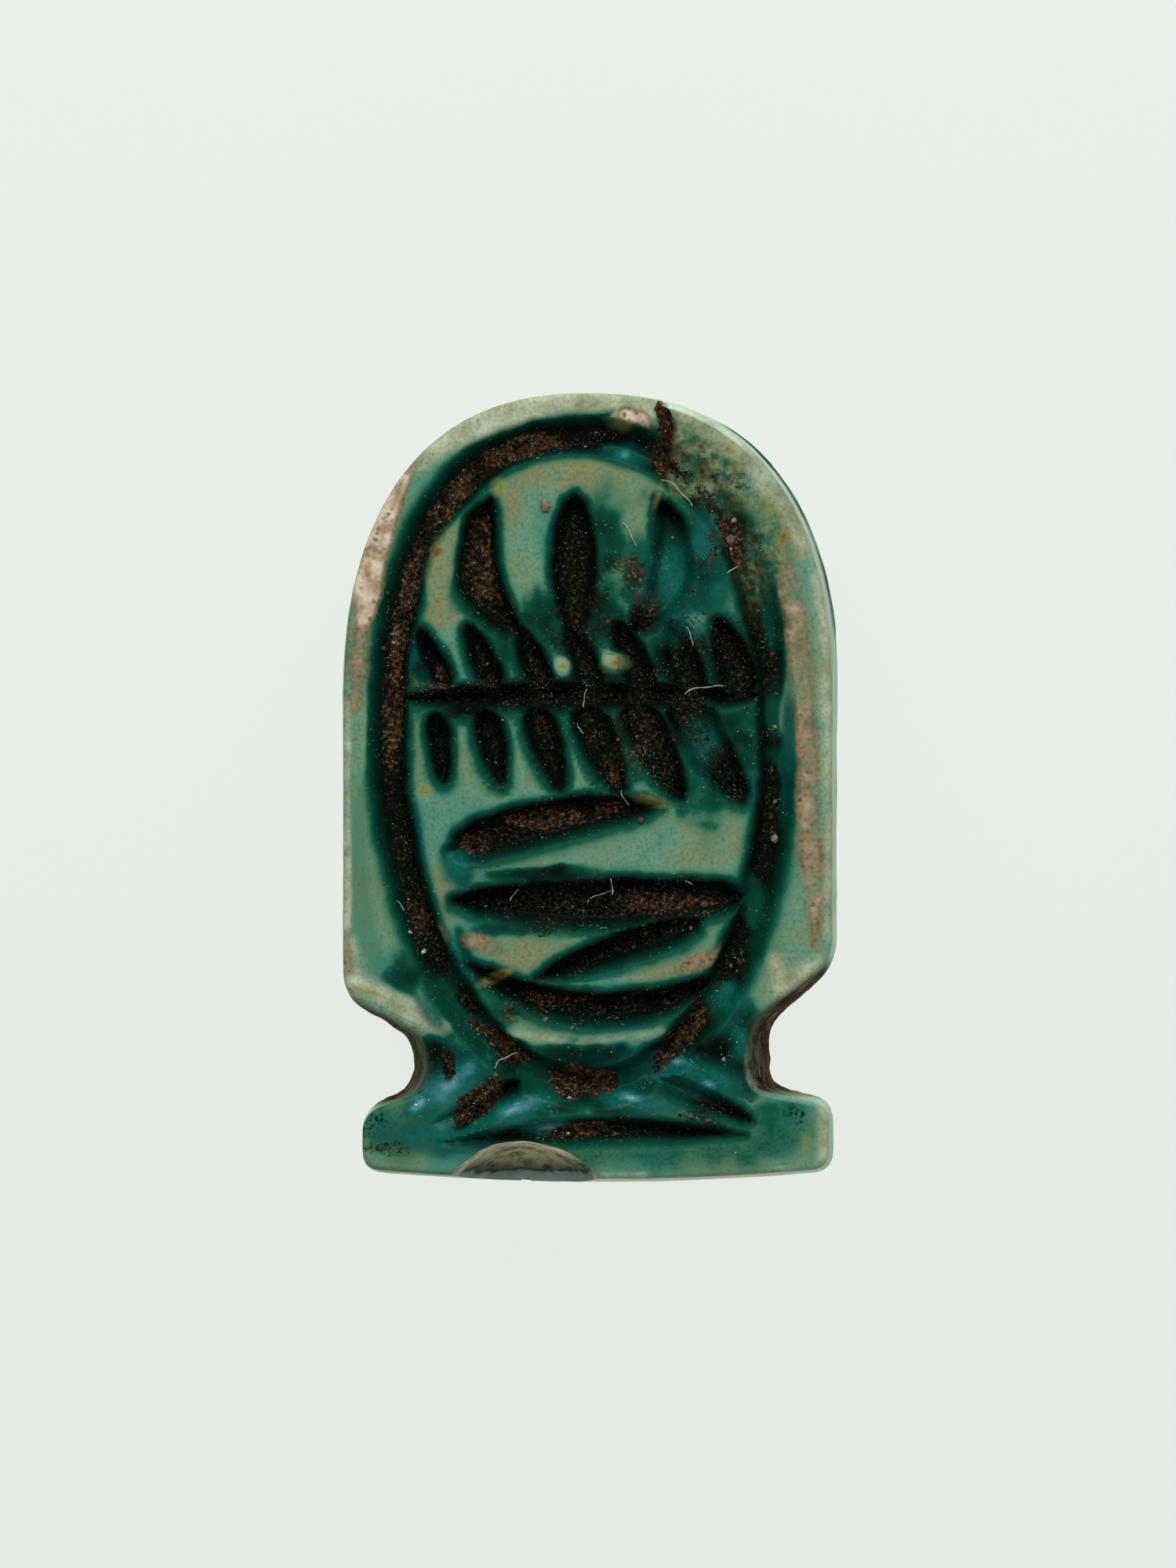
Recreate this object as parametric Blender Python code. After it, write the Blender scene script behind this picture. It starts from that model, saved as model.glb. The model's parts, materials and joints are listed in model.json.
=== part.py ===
"""Cartouche amulet: a small tablet carved from one piece of soft stone and glazed, lying on its back.

The tablet is a domed loop on a flared foot. Its face carries the oval ring of the cartouche, the tie
under it, and rows of plain cut strokes. A stringing bore runs through it from foot to dome. X is to the
right, Y towards the dome, and Z up out of the carved face. The origin is under the middle of its box.
"""

import math

import bmesh
import bpy
import numpy as np
from mathutils import Matrix, Vector

MM = 0.001

# Tablet
LENGTH = 15.0 * MM
BODY_WIDTH = 9.4 * MM
THICKNESS = 4.5 * MM
DOME_RISE = 6.0 * MM
DOME_SQUARENESS = 2.4
SIDE_BULGE = 0.1 * MM
EDGE_ROUND = 0.1 * MM

# Foot, neck and shoulders
FOOT_WIDTH = 8.98 * MM
FOOT_OFFSET = 0.15 * MM
FOOT_EDGE_LEFT = 1.18 * MM
FOOT_EDGE_RIGHT = 1.38 * MM
FOOT_SAG = 0.2 * MM
FOOT_CORNER = 0.42 * MM
NECK_WIDTH = 6.8 * MM
NECK_OFFSET = 0.03 * MM
NECK_LOW = 1.66 * MM
NECK_HEIGHT_LEFT = 0.85 * MM
NECK_HEIGHT_RIGHT = 1.15 * MM
NECK_CORNER = 0.36 * MM
NECK_PINCH = 0.3 * MM
SHOULDER_LEFT = 3.52 * MM
SHOULDER_RIGHT = 4.14 * MM
SHOULDER_CORNER = 0.5 * MM

# Ring of the cartouche
RING_INSET = 1.06 * MM
RING_TOP_INSET = 0.9 * MM
RING_FOOT_HEIGHT = 1.85 * MM
RING_MIDDLE = 8.3 * MM
RING_SQUARENESS = 2.3
RING_LEAN = 0.1 * MM
RING_WIDTH = 0.68 * MM
RING_DEPTH = 0.42 * MM

# Strokes of the graver
STROKE_DEPTH = 0.4 * MM
TIE_WIDTH = 0.5 * MM
TIE_DEPTH = 0.3 * MM
LENS = 0.5
WEDGE = 0.25

# Bore and breaks
BORE_DIAMETER = 1.2 * MM
BORE_FOOT_OFFSET = -1.2 * MM
BORE_DOME_OFFSET = 1.0 * MM
FOOT_CHIP_WIDTH = 3.0 * MM
FOOT_CHIP_DEPTH = 1.75 * MM
FOOT_CHIP_REACH = 0.8 * MM
FOOT_CHIP_SWELL = 1.3
DOME_FLAKE_OFFSET = 1.8 * MM
DOME_FLAKE_STEP = 0.42 * MM
DOME_FLAKE_SHELF = 2.2 * MM
DOME_FLAKE_LENGTH = 3.5 * MM
DOME_FLAKE_DEPTH = 0.34 * MM
DOME_FLAKE_DROP = 0.9 * MM

# Fineness of the facets
DOME_STEPS = 44
CORNER_STEPS = 5
FOOT_STEPS = 20
RING_STEPS = 84
STROKE_STEPS = 8
BORE_SIDES = 24
BREAK_FINENESS = 3
ARRIS_STEPS = (0.0, 0.3, 0.65, 1.0)
SIDE_LEVELS = (0.12, 0.3, 0.5, 0.7, 0.88)
GROOVE_FLOOR = ((-1.0, 0.0), (-0.62, -0.7), (0.0, -1.0), (0.62, -0.7), (1.0, 0.0))
CUT_CLEARANCE = 0.4 * MM

GLAZE_COLOUR = (0.16, 0.33, 0.26, 1.0)
GLAZE_ROUGHNESS = 0.4


def from_foot(height):
    """The Y of a height above the foot's underside."""
    return height - LENGTH / 2


def corners(pinch):
    """The outline's corners below the dome, from the left side round the foot to the right side.

    Each is (x, y, reach, steps): the sides are straight, and a corner's curve leaves them at reach.
    The neck is narrower by pinch on each side, as the file left it near the two faces.
    """
    body, neck, foot = BODY_WIDTH / 2, NECK_WIDTH / 2 - pinch, FOOT_WIDTH / 2
    foot_low = from_foot(FOOT_SAG)
    neck_low = foot_low + NECK_LOW
    under_reach = foot - 2 * FOOT_CORNER
    under_y = foot_low - FOOT_SAG / (1 - under_reach / foot / 2)
    return np.array([
        (-body, from_foot(SHOULDER_LEFT), SHOULDER_CORNER, CORNER_STEPS),
        (NECK_OFFSET - neck, neck_low + NECK_HEIGHT_LEFT, NECK_CORNER, CORNER_STEPS),
        (NECK_OFFSET - neck, neck_low, NECK_CORNER, CORNER_STEPS),
        (FOOT_OFFSET - foot, foot_low + FOOT_EDGE_LEFT, FOOT_CORNER, CORNER_STEPS),
        (FOOT_OFFSET - foot, foot_low, FOOT_CORNER, CORNER_STEPS),
        (FOOT_OFFSET, under_y, under_reach, FOOT_STEPS),
        (FOOT_OFFSET + foot, foot_low, FOOT_CORNER, CORNER_STEPS),
        (FOOT_OFFSET + foot, foot_low + FOOT_EDGE_RIGHT, FOOT_CORNER, CORNER_STEPS),
        (NECK_OFFSET + neck, neck_low, NECK_CORNER, CORNER_STEPS),
        (NECK_OFFSET + neck, neck_low + NECK_HEIGHT_RIGHT, NECK_CORNER, CORNER_STEPS),
        (body, from_foot(SHOULDER_RIGHT), SHOULDER_CORNER, CORNER_STEPS),
    ])


def outline(inset, pinch):
    """The tablet's outline, moved inwards by inset, as points that run anticlockwise from the left side.

    A corner is a quadratic curve on three points: where it leaves one side, where the sides would
    meet, and where it joins the next side. The dome is half a superellipse.
    """
    half_width = BODY_WIDTH / 2
    dome_y = LENGTH / 2 - DOME_RISE
    table = corners(pinch)
    knots = np.vstack([(-half_width, dome_y), table[:, :2], (half_width, dome_y)])
    along = np.diff(knots, axis=0)
    along /= np.linalg.norm(along, axis=1)[:, None]
    inward = np.stack([-along[:, 1], along[:, 0]], axis=1)
    points = []
    for k, (x, y, reach, steps) in enumerate(table):
        corner = np.array((x, y))
        leave = corner - along[k] * reach + inward[k] * inset
        join = corner + along[k + 1] * reach + inward[k + 1] * inset
        meet = corner + (inward[k] + inward[k + 1]) * inset / (1 + inward[k] @ inward[k + 1])
        t = np.linspace(0, 1, int(steps) + 1)[:, None]
        points.append((1 - t) ** 2 * leave + 2 * t * (1 - t) * meet + t**2 * join)
    angle = np.linspace(0, math.pi, DOME_STEPS + 1)
    power = 2 / DOME_SQUARENESS
    across = np.sign(np.cos(angle)) * np.abs(np.cos(angle)) ** power * (half_width - inset)
    rise = np.abs(np.sin(angle)) ** power * (DOME_RISE - inset)
    points.append(np.stack([across, dome_y + rise], axis=1))
    return np.vstack(points)


def side_profile():
    """(height, inset, pinch) up the tablet's edge: a low bulge with a rounded arris at each face."""
    quarter = [share * math.pi / 2 for share in ARRIS_STEPS]
    arris = [(EDGE_ROUND * (1 - math.cos(a)), EDGE_ROUND * (1 - math.sin(a))) for a in quarter]
    levels = arris + [(share * THICKNESS, 0.0) for share in SIDE_LEVELS]
    levels += [(THICKNESS - height, inset) for height, inset in reversed(arris)]
    profile = []
    for z, inset in levels:
        fall = (2 * z / THICKNESS - 1) ** 2
        profile.append((z, inset + SIDE_BULGE * fall, NECK_PINCH * fall))
    return profile


def add_object(name, bm, collection):
    """Stores a bmesh as a named object, its normals outwards. Only the flat caps aren't shaded smooth."""
    bmesh.ops.recalc_face_normals(bm, faces=bm.faces)
    for face in bm.faces:
        face.smooth = len(face.verts) <= 4
    mesh = bpy.data.meshes.new(name)
    bm.to_mesh(mesh)
    bm.free()
    made = bpy.data.objects.new(name, mesh)
    collection.objects.link(made)
    return made


def loft(bm, loops, closed):
    """Joins equal loops of points by quads. It closes on itself, or is capped at both ends."""
    rings = [[bm.verts.new(point) for point in loop] for loop in loops]
    uppers = rings[1:] + rings[:1] if closed else rings[1:]
    for lower, upper in zip(rings, uppers):
        for i in range(len(lower)):
            j = (i + 1) % len(lower)
            bm.faces.new((lower[i], lower[j], upper[j], upper[i]))
    if not closed:
        bm.faces.new(rings[0])
        bm.faces.new(rings[-1])


def tablet_blank():
    """The uncarved tablet: the outline lofted up the side profile, with flat faces."""
    bm = bmesh.new()
    loops = [[(x, y, z) for x, y in outline(inset, pinch)] for z, inset, pinch in side_profile()]
    loft(bm, loops, closed=False)
    return add_object("cartouche_amulet", bm, bpy.context.scene.collection)


def ring_point(angle):
    """A point on the ring's centreline: a superellipse above its middle and an ellipse below."""
    half_width = BODY_WIDTH / 2 - RING_INSET
    middle = from_foot(RING_MIDDLE)
    if math.sin(angle) >= 0:
        reach, power = LENGTH / 2 - RING_TOP_INSET - middle, 2 / RING_SQUARENESS
    else:
        reach, power = middle - from_foot(RING_FOOT_HEIGHT), 1.0
    x = math.copysign(abs(math.cos(angle)) ** power, math.cos(angle)) * half_width
    y = math.copysign(abs(math.sin(angle)) ** power, math.sin(angle)) * reach
    return Vector((x - RING_LEAN * (1 + math.sin(angle)), middle + y))


def groove_section(centre, across, half_width, depth):
    """A groove's round-bottomed section at one place, standing clear above the face."""
    flare = half_width * (1 + CUT_CLEARANCE / depth / 2)
    section = [(side * half_width, THICKNESS + down * depth) for side, down in GROOVE_FLOOR]
    section.insert(0, (-flare, THICKNESS + CUT_CLEARANCE))
    section.append((flare, THICKNESS + CUT_CLEARANCE))
    return [(centre.x + across.x * s, centre.y + across.y * s, z) for s, z in section]


def ring_cutter(collection):
    """The closed groove of the cartouche's ring."""
    bm = bmesh.new()
    loops = []
    for k in range(RING_STEPS):
        angle = 2 * math.pi * k / RING_STEPS
        step = math.pi / RING_STEPS
        along = (ring_point(angle + step) - ring_point(angle - step)).normalized()
        across = Vector((-along.y, along.x))
        loops.append(groove_section(ring_point(angle), across, RING_WIDTH / 2, RING_DEPTH))
    loft(bm, loops, closed=True)
    return add_object("ring_cutter", bm, collection)


def swell(t, fattest):
    """How full a stroke is at t, from 0 to 1: it swells up to its fattest place and tapers off."""
    share = t / fattest if t < fattest else (1 - t) / (1 - fattest)
    return 0.12 + 0.88 * math.sin(share * math.pi / 2) ** 0.6


def stroke_cutter(name, start, end, bow, width, depth, fattest, collection):
    """One stroke of the graver from start to end, which bows aside by bow at its middle."""
    along = (end - start).normalized()
    aside = Vector((-along.y, along.x))
    bm = bmesh.new()
    loops = []
    for k in range(STROKE_STEPS + 1):
        t = k / STROKE_STEPS
        lean = 4 * bow * (1 - 2 * t) / (end - start).length
        across = (aside - along * lean).normalized()
        centre = start.lerp(end, t) + aside * bow * 4 * t * (1 - t)
        full = swell(t, fattest)
        loops.append(groove_section(centre, across, width / 2 * full, depth * full))
    loft(bm, loops, closed=False)
    return add_object(name, bm, collection)


def field_height():
    return LENGTH - RING_TOP_INSET - RING_FOOT_HEIGHT


def field_point(across, up):
    """A place in the ring's field: across runs from -1 to 1, and up from 0 at its foot to 1 at its top."""
    x = across * (BODY_WIDTH / 2 - RING_INSET) - RING_LEAN
    return Vector((x, from_foot(RING_FOOT_HEIGHT) + up * field_height()))


def row_of_strokes(count, place, up, length, width, tilt, bow):
    """A row of short strokes, all of whose sizes change evenly from its first stroke to its last.

    place is how far across the first and last are. Length, width and bow are shares of the field's
    height, and tilt is in degrees from upright. Each stroke is (start, end, bow, width).
    """
    row = []
    for k in range(count):
        share = k / (count - 1)
        across, size, wide, lean, bend = (
            a + (b - a) * share for a, b in (place, length, width, tilt, bow)
        )
        turn = math.radians(lean)
        half = Vector((math.sin(turn), math.cos(turn))) * size * field_height() / 2
        centre = field_point(across, up)
        row.append((centre - half, centre + half, bend * field_height(), wide * field_height()))
    return row


def carve_strokes(collection):
    """The rows of plain strokes inside the ring."""
    rows = {
        "crown": (LENS, row_of_strokes(
            3, (-0.4, 0.32), 0.8, (0.21, 0.21), (0.07, 0.07), (-12, 12), (0.044, -0.044))),
        "upper": (WEDGE, row_of_strokes(
            7, (-0.78, 0.77), 0.66, (0.1, 0.12), (0.036, 0.062), (-26, -18), (0.0, 0.0))),
        "lower": (WEDGE, row_of_strokes(
            6, (-0.74, 0.66), 0.52, (-0.1, -0.19), (0.036, 0.074), (-8, -32), (0.0, 0.0))),
    }
    for row, (fattest, strokes) in rows.items():
        for k, (start, end, bow, width) in enumerate(strokes):
            stroke_cutter(f"{row}_{k}", start, end, bow, width, STROKE_DEPTH, fattest, collection)
    long_strokes = {
        "ruled_line": ((-0.95, 0.597), (0.96, 0.6), 0.0, 0.048, LENS),
        "long_upper": ((-0.68, 0.362), (0.4, 0.432), 0.012, 0.066, WEDGE),
        "long_lower": ((-0.66, 0.285), (0.94, 0.297), -0.01, 0.074, LENS),
        "slanted": ((0.62, 0.257), (-0.24, 0.165), 0.0, 0.048, WEDGE),
        "band": ((-0.6, 0.188), (0.78, 0.178), -0.065, 0.05, LENS),
    }
    for name, (start, end, bow, width, fattest) in long_strokes.items():
        stroke_cutter(
            name, field_point(*start), field_point(*end), bow * field_height(),
            width * field_height(), STROKE_DEPTH, fattest, collection,
        )


def carve_tie(collection):
    """The tie under the ring, with its two splayed ends, and the line along the foot."""
    strokes = {
        "tie_left": ((-0.28, 0.018), (-0.66, -0.075), 0.0),
        "tie_right": ((0.34, 0.018), (0.88, -0.055), 0.0),
        "tie_knot": ((-0.2, 0.002), (0.24, 0.002), 0.0),
        "foot_line": ((-0.72, -0.088), (0.84, -0.076), 0.012),
    }
    for name, (start, end, bow) in strokes.items():
        stroke_cutter(
            name, field_point(*start), field_point(*end), bow * field_height(),
            TIE_WIDTH, TIE_DEPTH, LENS, collection,
        )


def bore_cutter(collection):
    """The stringing bore: drilled at mid-thickness, a little askew, from the foot to the dome."""
    foot = Vector((BORE_FOOT_OFFSET, -LENGTH / 2, THICKNESS / 2))
    dome = Vector((BORE_DOME_OFFSET, LENGTH / 2, THICKNESS / 2))
    run = dome - foot
    place = Matrix.Translation((foot + dome) / 2) @ run.to_track_quat("Z", "Y").to_matrix().to_4x4()
    bm = bmesh.new()
    bmesh.ops.create_cone(
        bm, cap_ends=True, segments=BORE_SIDES, radius1=BORE_DIAMETER / 2,
        radius2=BORE_DIAMETER / 2, depth=run.length + 2 * BORE_DIAMETER, matrix=place,
    )
    return add_object("bore_cutter", bm, collection)


def break_cutter(name, centre, left, right, length, depth, collection):
    """A flake that has broken away: an ellipsoid that reaches left and right of its centre unequally."""
    bm = bmesh.new()
    bmesh.ops.create_icosphere(bm, subdivisions=BREAK_FINENESS, radius=1.0)
    for vert in bm.verts:
        width = left if vert.co.x < 0 else right
        vert.co = Vector(centre) + vert.co * Vector((width, length, depth))
    return add_object(name, bm, collection)


def cut_breaks(collection):
    """The chip where the bore leaves the foot, and the shallow flake off the dome's right side."""
    chip_rise = FOOT_CHIP_REACH * FOOT_CHIP_SWELL
    break_cutter(
        "foot_chip", (BORE_FOOT_OFFSET, from_foot(FOOT_CHIP_REACH - chip_rise), THICKNESS),
        FOOT_CHIP_WIDTH / 2, FOOT_CHIP_WIDTH / 2, chip_rise, FOOT_CHIP_DEPTH, collection,
    )
    break_cutter(
        "dome_flake", (DOME_FLAKE_OFFSET, LENGTH / 2 - DOME_FLAKE_DROP, THICKNESS),
        DOME_FLAKE_STEP, DOME_FLAKE_SHELF, DOME_FLAKE_LENGTH / 2, DOME_FLAKE_DEPTH, collection,
    )


def subtract(body, name, cutters):
    """Cuts away from the body every solid that a function puts into a new collection."""
    group = bpy.data.collections.new(name)
    bpy.context.scene.collection.children.link(group)
    for make in cutters:
        make(group)
    for cutter in group.objects:
        cutter.hide_render = True
        cutter.display_type = "WIRE"
    cut = body.modifiers.new(name, "BOOLEAN")
    cut.operation = "DIFFERENCE"
    cut.operand_type = "COLLECTION"
    cut.collection = group


def glaze():
    """The green glaze of the whole tablet."""
    material = bpy.data.materials.new("green_glaze")
    material.use_nodes = True
    shader = material.node_tree.nodes["Principled BSDF"]
    shader.inputs["Base Color"].default_value = GLAZE_COLOUR
    shader.inputs["Roughness"].default_value = GLAZE_ROUGHNESS
    return material


def main():
    for old in list(bpy.data.objects):
        bpy.data.objects.remove(old, do_unlink=True)
    body = tablet_blank()
    body.data.materials.append(glaze())
    subtract(body, "carving", (ring_cutter, carve_strokes, carve_tie))
    subtract(body, "drilling", (bore_cutter,))
    subtract(body, "breaks", (cut_breaks,))


main()
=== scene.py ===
# %% [markdown]
# # A cartouche amulet of glazed stone
# The object is a tablet 15 mm long, carved by hand from soft stone and covered with a thin copper-blue glaze.
# Its face was cut with a graver. Long burial left soil in the cuts, and handling wore the rim.
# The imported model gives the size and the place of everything. This script makes its surface.

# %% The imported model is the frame
import json
import math

import bmesh
import bpy
import numpy as np
from mathutils import Matrix, Vector
from mathutils.kdtree import KDTree

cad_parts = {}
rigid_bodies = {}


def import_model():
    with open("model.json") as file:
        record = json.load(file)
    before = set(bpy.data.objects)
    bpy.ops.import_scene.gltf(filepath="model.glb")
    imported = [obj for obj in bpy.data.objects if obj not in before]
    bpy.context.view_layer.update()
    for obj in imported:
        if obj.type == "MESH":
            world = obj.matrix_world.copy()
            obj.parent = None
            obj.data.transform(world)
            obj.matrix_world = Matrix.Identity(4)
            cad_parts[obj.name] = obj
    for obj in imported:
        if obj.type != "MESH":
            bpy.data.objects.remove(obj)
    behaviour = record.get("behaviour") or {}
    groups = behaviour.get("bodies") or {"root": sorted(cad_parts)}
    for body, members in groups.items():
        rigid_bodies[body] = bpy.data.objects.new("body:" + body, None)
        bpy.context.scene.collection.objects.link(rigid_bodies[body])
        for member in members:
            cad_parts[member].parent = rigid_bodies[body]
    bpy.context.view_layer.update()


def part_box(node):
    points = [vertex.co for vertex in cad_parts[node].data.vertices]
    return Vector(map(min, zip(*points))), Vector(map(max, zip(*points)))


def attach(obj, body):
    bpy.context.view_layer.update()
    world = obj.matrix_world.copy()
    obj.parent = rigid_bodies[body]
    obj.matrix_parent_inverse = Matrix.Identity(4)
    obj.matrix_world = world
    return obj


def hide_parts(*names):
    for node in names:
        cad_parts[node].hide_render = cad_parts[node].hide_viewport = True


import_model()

MM = 0.001
low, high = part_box("cartouche_amulet")
LENGTH, WIDTH, THICKNESS = ((high[k] - low[k]) / MM for k in (1, 0, 2))
print(f"tablet {WIDTH:.2f} x {LENGTH:.2f} x {THICKNESS:.2f} mm")

# %% [markdown]
# Every length below is in millimetres, because that is how a maker of such small things thinks. The mesh
# is turned to metres at the very end. These sizes repeat the ones that the solid was made from, and the
# solid's own box gives the length, the width and the thickness.

# %% Sizes of the tablet and its carving
DOME_RISE = 6.0
DOME_SQUARENESS = 2.4
SIDE_BULGE = 0.1
EDGE_ROUND = 0.1
FOOT_WIDTH, FOOT_OFFSET, FOOT_SAG, FOOT_CORNER = 8.98, 0.15, 0.2, 0.42
FOOT_EDGE_LEFT, FOOT_EDGE_RIGHT, NECK_LOW = 1.18, 1.38, 1.66
NECK_WIDTH, NECK_OFFSET, NECK_CORNER, NECK_PINCH = 6.8, 0.03, 0.36, 0.3
NECK_HEIGHT_LEFT, NECK_HEIGHT_RIGHT = 0.85, 1.15
SHOULDER_LEFT, SHOULDER_RIGHT, SHOULDER_CORNER = 3.52, 4.14, 0.5

RING_INSET, RING_TOP_INSET, RING_FOOT_HEIGHT, RING_MIDDLE = 1.06, 0.9, 1.85, 8.3
RING_SQUARENESS, RING_LEAN, RING_WIDTH = 2.3, 0.1, 0.68
TIE_WIDTH = 0.5
GROOVE_DEPTH = 0.4
LENS, WEDGE = 0.5, 0.25

BORE_DIAMETER, BORE_FOOT_OFFSET, BORE_DOME_OFFSET = 1.2, -1.2, 1.0
CHIP_WIDTH, CHIP_DEPTH, CHIP_REACH, CHIP_SWELL = 3.0, 1.75, 0.8, 1.3
FLAKE_OFFSET, FLAKE_SHELF, FLAKE_LENGTH = 1.8, 2.2, 3.5
FLAKE_DEPTH, FLAKE_DROP = 0.34, 0.9

# Where the camera's picture lies on the tablet, in points of the picture
PICTURE_WIDTH, PICTURE_HEIGHT = 1500, 2000
TABLET_POINTS = 1006
POINT = LENGTH / TABLET_POINTS
CENTRE_COLUMN, CENTRE_ROW = 753, 1005


def place(column, row):
    """The place on the tablet, in mm, of a point of the picture."""
    return np.array(((column - CENTRE_COLUMN) * POINT, (CENTRE_ROW - row) * POINT))


print(f"one point of the picture is {POINT * 1000:.1f} micrometres")

# %% [markdown]
# Nothing made by hand is even. A displacement texture could give that, but then the finish couldn't follow
# the same lumps. So one kind of noise, worked out here, serves shape and finish alike: random numbers sit on
# the corners of a cubic lattice, and a smooth curve blends them in between. A second and a third layer, each
# at half the grain of the last, add finer unevenness, as in most natural surfaces.

# %% Unevenness
LATTICE = 32
# Each finer layer has a seed and a place of its own, so that its lumps don't line up with the broader ones
LAYER_SEED, LAYER_SHIFT = 101, 7.3
# The sum is divided by a little more than the layers' strengths add up to, which keeps it within -1 to 1
LAYER_WEIGHT = 0.6


def smooth(t):
    """The curve 3t^2 - 2t^3, held at 0 and 1 beyond its ends."""
    t = np.clip(t, 0, 1)
    return t * t * (3 - 2 * t)


def uneven(points, grain, seed, layers=3):
    """Lattice noise between -1 and 1 at (n, 3) points, whose broadest lumps are grain mm across."""
    points = np.asarray(points, float)
    total, weight = np.zeros(len(points)), 0.0
    for layer in range(layers):
        table = np.random.default_rng(seed + LAYER_SEED * layer).uniform(-1, 1, (LATTICE,) * 3)
        scaled = points / grain * 2**layer + LAYER_SHIFT * layer
        cell = np.floor(scaled).astype(int)
        share = smooth(scaled - cell)
        value = np.zeros(len(points))
        for corner in np.ndindex(2, 2, 2):
            part = np.prod(np.where(corner, share, 1 - share), axis=1)
            value += part * table[tuple(((cell + corner) % LATTICE).T)]
        total += value / 2**layer
        weight += LAYER_WEIGHT**layer
    return total / weight


print(f"noise lattice of {LATTICE**3} numbers")

# %% [markdown]
# The outline is the solid's own: straight sides, two file-cut notches that make the neck, a flared foot with
# a slightly round underside, and a dome that is half a superellipse. Each corner is a quadratic curve.

# %% The tablet's outline
FINE_CORNER, FINE_FOOT, FINE_DOME = 24, 80, 240


def from_foot(height):
    """The Y of a height above the foot's underside."""
    return height - LENGTH / 2


def corners(pinch):
    """The corners below the dome, as (x, y, reach, steps), with the neck narrower by pinch."""
    body, neck, foot = WIDTH / 2, NECK_WIDTH / 2 - pinch, FOOT_WIDTH / 2
    foot_low = from_foot(FOOT_SAG)
    neck_low = foot_low + NECK_LOW
    under_reach = foot - 2 * FOOT_CORNER
    under_y = foot_low - FOOT_SAG / (1 - under_reach / foot / 2)
    return np.array([
        (-body, from_foot(SHOULDER_LEFT), SHOULDER_CORNER, FINE_CORNER),
        (NECK_OFFSET - neck, neck_low + NECK_HEIGHT_LEFT, NECK_CORNER, FINE_CORNER),
        (NECK_OFFSET - neck, neck_low, NECK_CORNER, FINE_CORNER),
        (FOOT_OFFSET - foot, foot_low + FOOT_EDGE_LEFT, FOOT_CORNER, FINE_CORNER),
        (FOOT_OFFSET - foot, foot_low, FOOT_CORNER, FINE_CORNER),
        (FOOT_OFFSET, under_y, under_reach, FINE_FOOT),
        (FOOT_OFFSET + foot, foot_low, FOOT_CORNER, FINE_CORNER),
        (FOOT_OFFSET + foot, foot_low + FOOT_EDGE_RIGHT, FOOT_CORNER, FINE_CORNER),
        (NECK_OFFSET + neck, neck_low, NECK_CORNER, FINE_CORNER),
        (NECK_OFFSET + neck, neck_low + NECK_HEIGHT_RIGHT, NECK_CORNER, FINE_CORNER),
        (body, from_foot(SHOULDER_RIGHT), SHOULDER_CORNER, FINE_CORNER),
    ])


def outline(inset, pinch):
    """The outline moved inwards by inset, anticlockwise from the left shoulder round the foot to the dome."""
    half_width = WIDTH / 2
    dome_y = LENGTH / 2 - DOME_RISE
    table = corners(pinch)
    knots = np.vstack([(-half_width, dome_y), table[:, :2], (half_width, dome_y)])
    along = np.diff(knots, axis=0)
    along /= np.linalg.norm(along, axis=1)[:, None]
    inward = np.stack([-along[:, 1], along[:, 0]], axis=1)
    points = []
    for k, (x, y, reach, steps) in enumerate(table):
        corner = np.array((x, y))
        leave = corner - along[k] * reach + inward[k] * inset
        join = corner + along[k + 1] * reach + inward[k + 1] * inset
        meet = corner + (inward[k] + inward[k + 1]) * inset / (1 + inward[k] @ inward[k + 1])
        t = np.linspace(0, 1, int(steps) + 1)[:, None]
        points.append((1 - t) ** 2 * leave + 2 * t * (1 - t) * meet + t**2 * join)
    angle = np.linspace(0, math.pi, FINE_DOME + 1)
    power = 2 / DOME_SQUARENESS
    across = np.sign(np.cos(angle)) * np.abs(np.cos(angle)) ** power * (half_width - inset)
    rise = np.abs(np.sin(angle)) ** power * (DOME_RISE - inset)
    points.append(np.stack([across, dome_y + rise], axis=1))
    return np.vstack(points)


FACE_INSET = SIDE_BULGE + EDGE_ROUND
face_edge = outline(FACE_INSET, NECK_PINCH)
print(f"outline of {len(face_edge)} points")

# %% [markdown]
# The face is a grid of two parameters stretched over the outline. A Coons patch does that: it takes the foot,
# the two sides and the top of the dome as its four edges, and blends them across. The same shares along the
# outline serve every level of the side, so that the side's columns run straight down.

# %% A grid over the face
ACROSS, UP = 216, 344
DOME_SHOULDER = (3.2, LENGTH / 2 - DOME_RISE + 4.86)


def walk(points):
    """How far along a closed line each of its points lies, and once round at the end."""
    steps = np.linalg.norm(np.diff(np.vstack([points, points[:1]]), axis=0), axis=1)
    return np.concatenate([[0], np.cumsum(steps)])


def edge_places():
    """The places round the face's edge, as fractions of a point's number: foot, right, top and left."""
    far = walk(face_edge)
    foot_x, foot_y = FOOT_WIDTH / 2 - FACE_INSET, from_foot(FOOT_SAG + FACE_INSET)
    wanted = [
        (FOOT_OFFSET - foot_x, foot_y), (FOOT_OFFSET + foot_x, foot_y),
        DOME_SHOULDER, (-DOME_SHOULDER[0], DOME_SHOULDER[1]),
    ]
    stops = [far[np.argmin(np.linalg.norm(face_edge - spot, axis=1))] for spot in wanted]
    stops.append(stops[0] + far[-1])
    sides = [
        np.linspace(start, end, count, endpoint=False)
        for start, end, count in zip(stops, stops[1:], (ACROSS, UP, ACROSS, UP))
    ]
    return np.interp(np.concatenate(sides) % far[-1], far, np.arange(len(far)))


EDGE_PLACES = edge_places()


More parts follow.
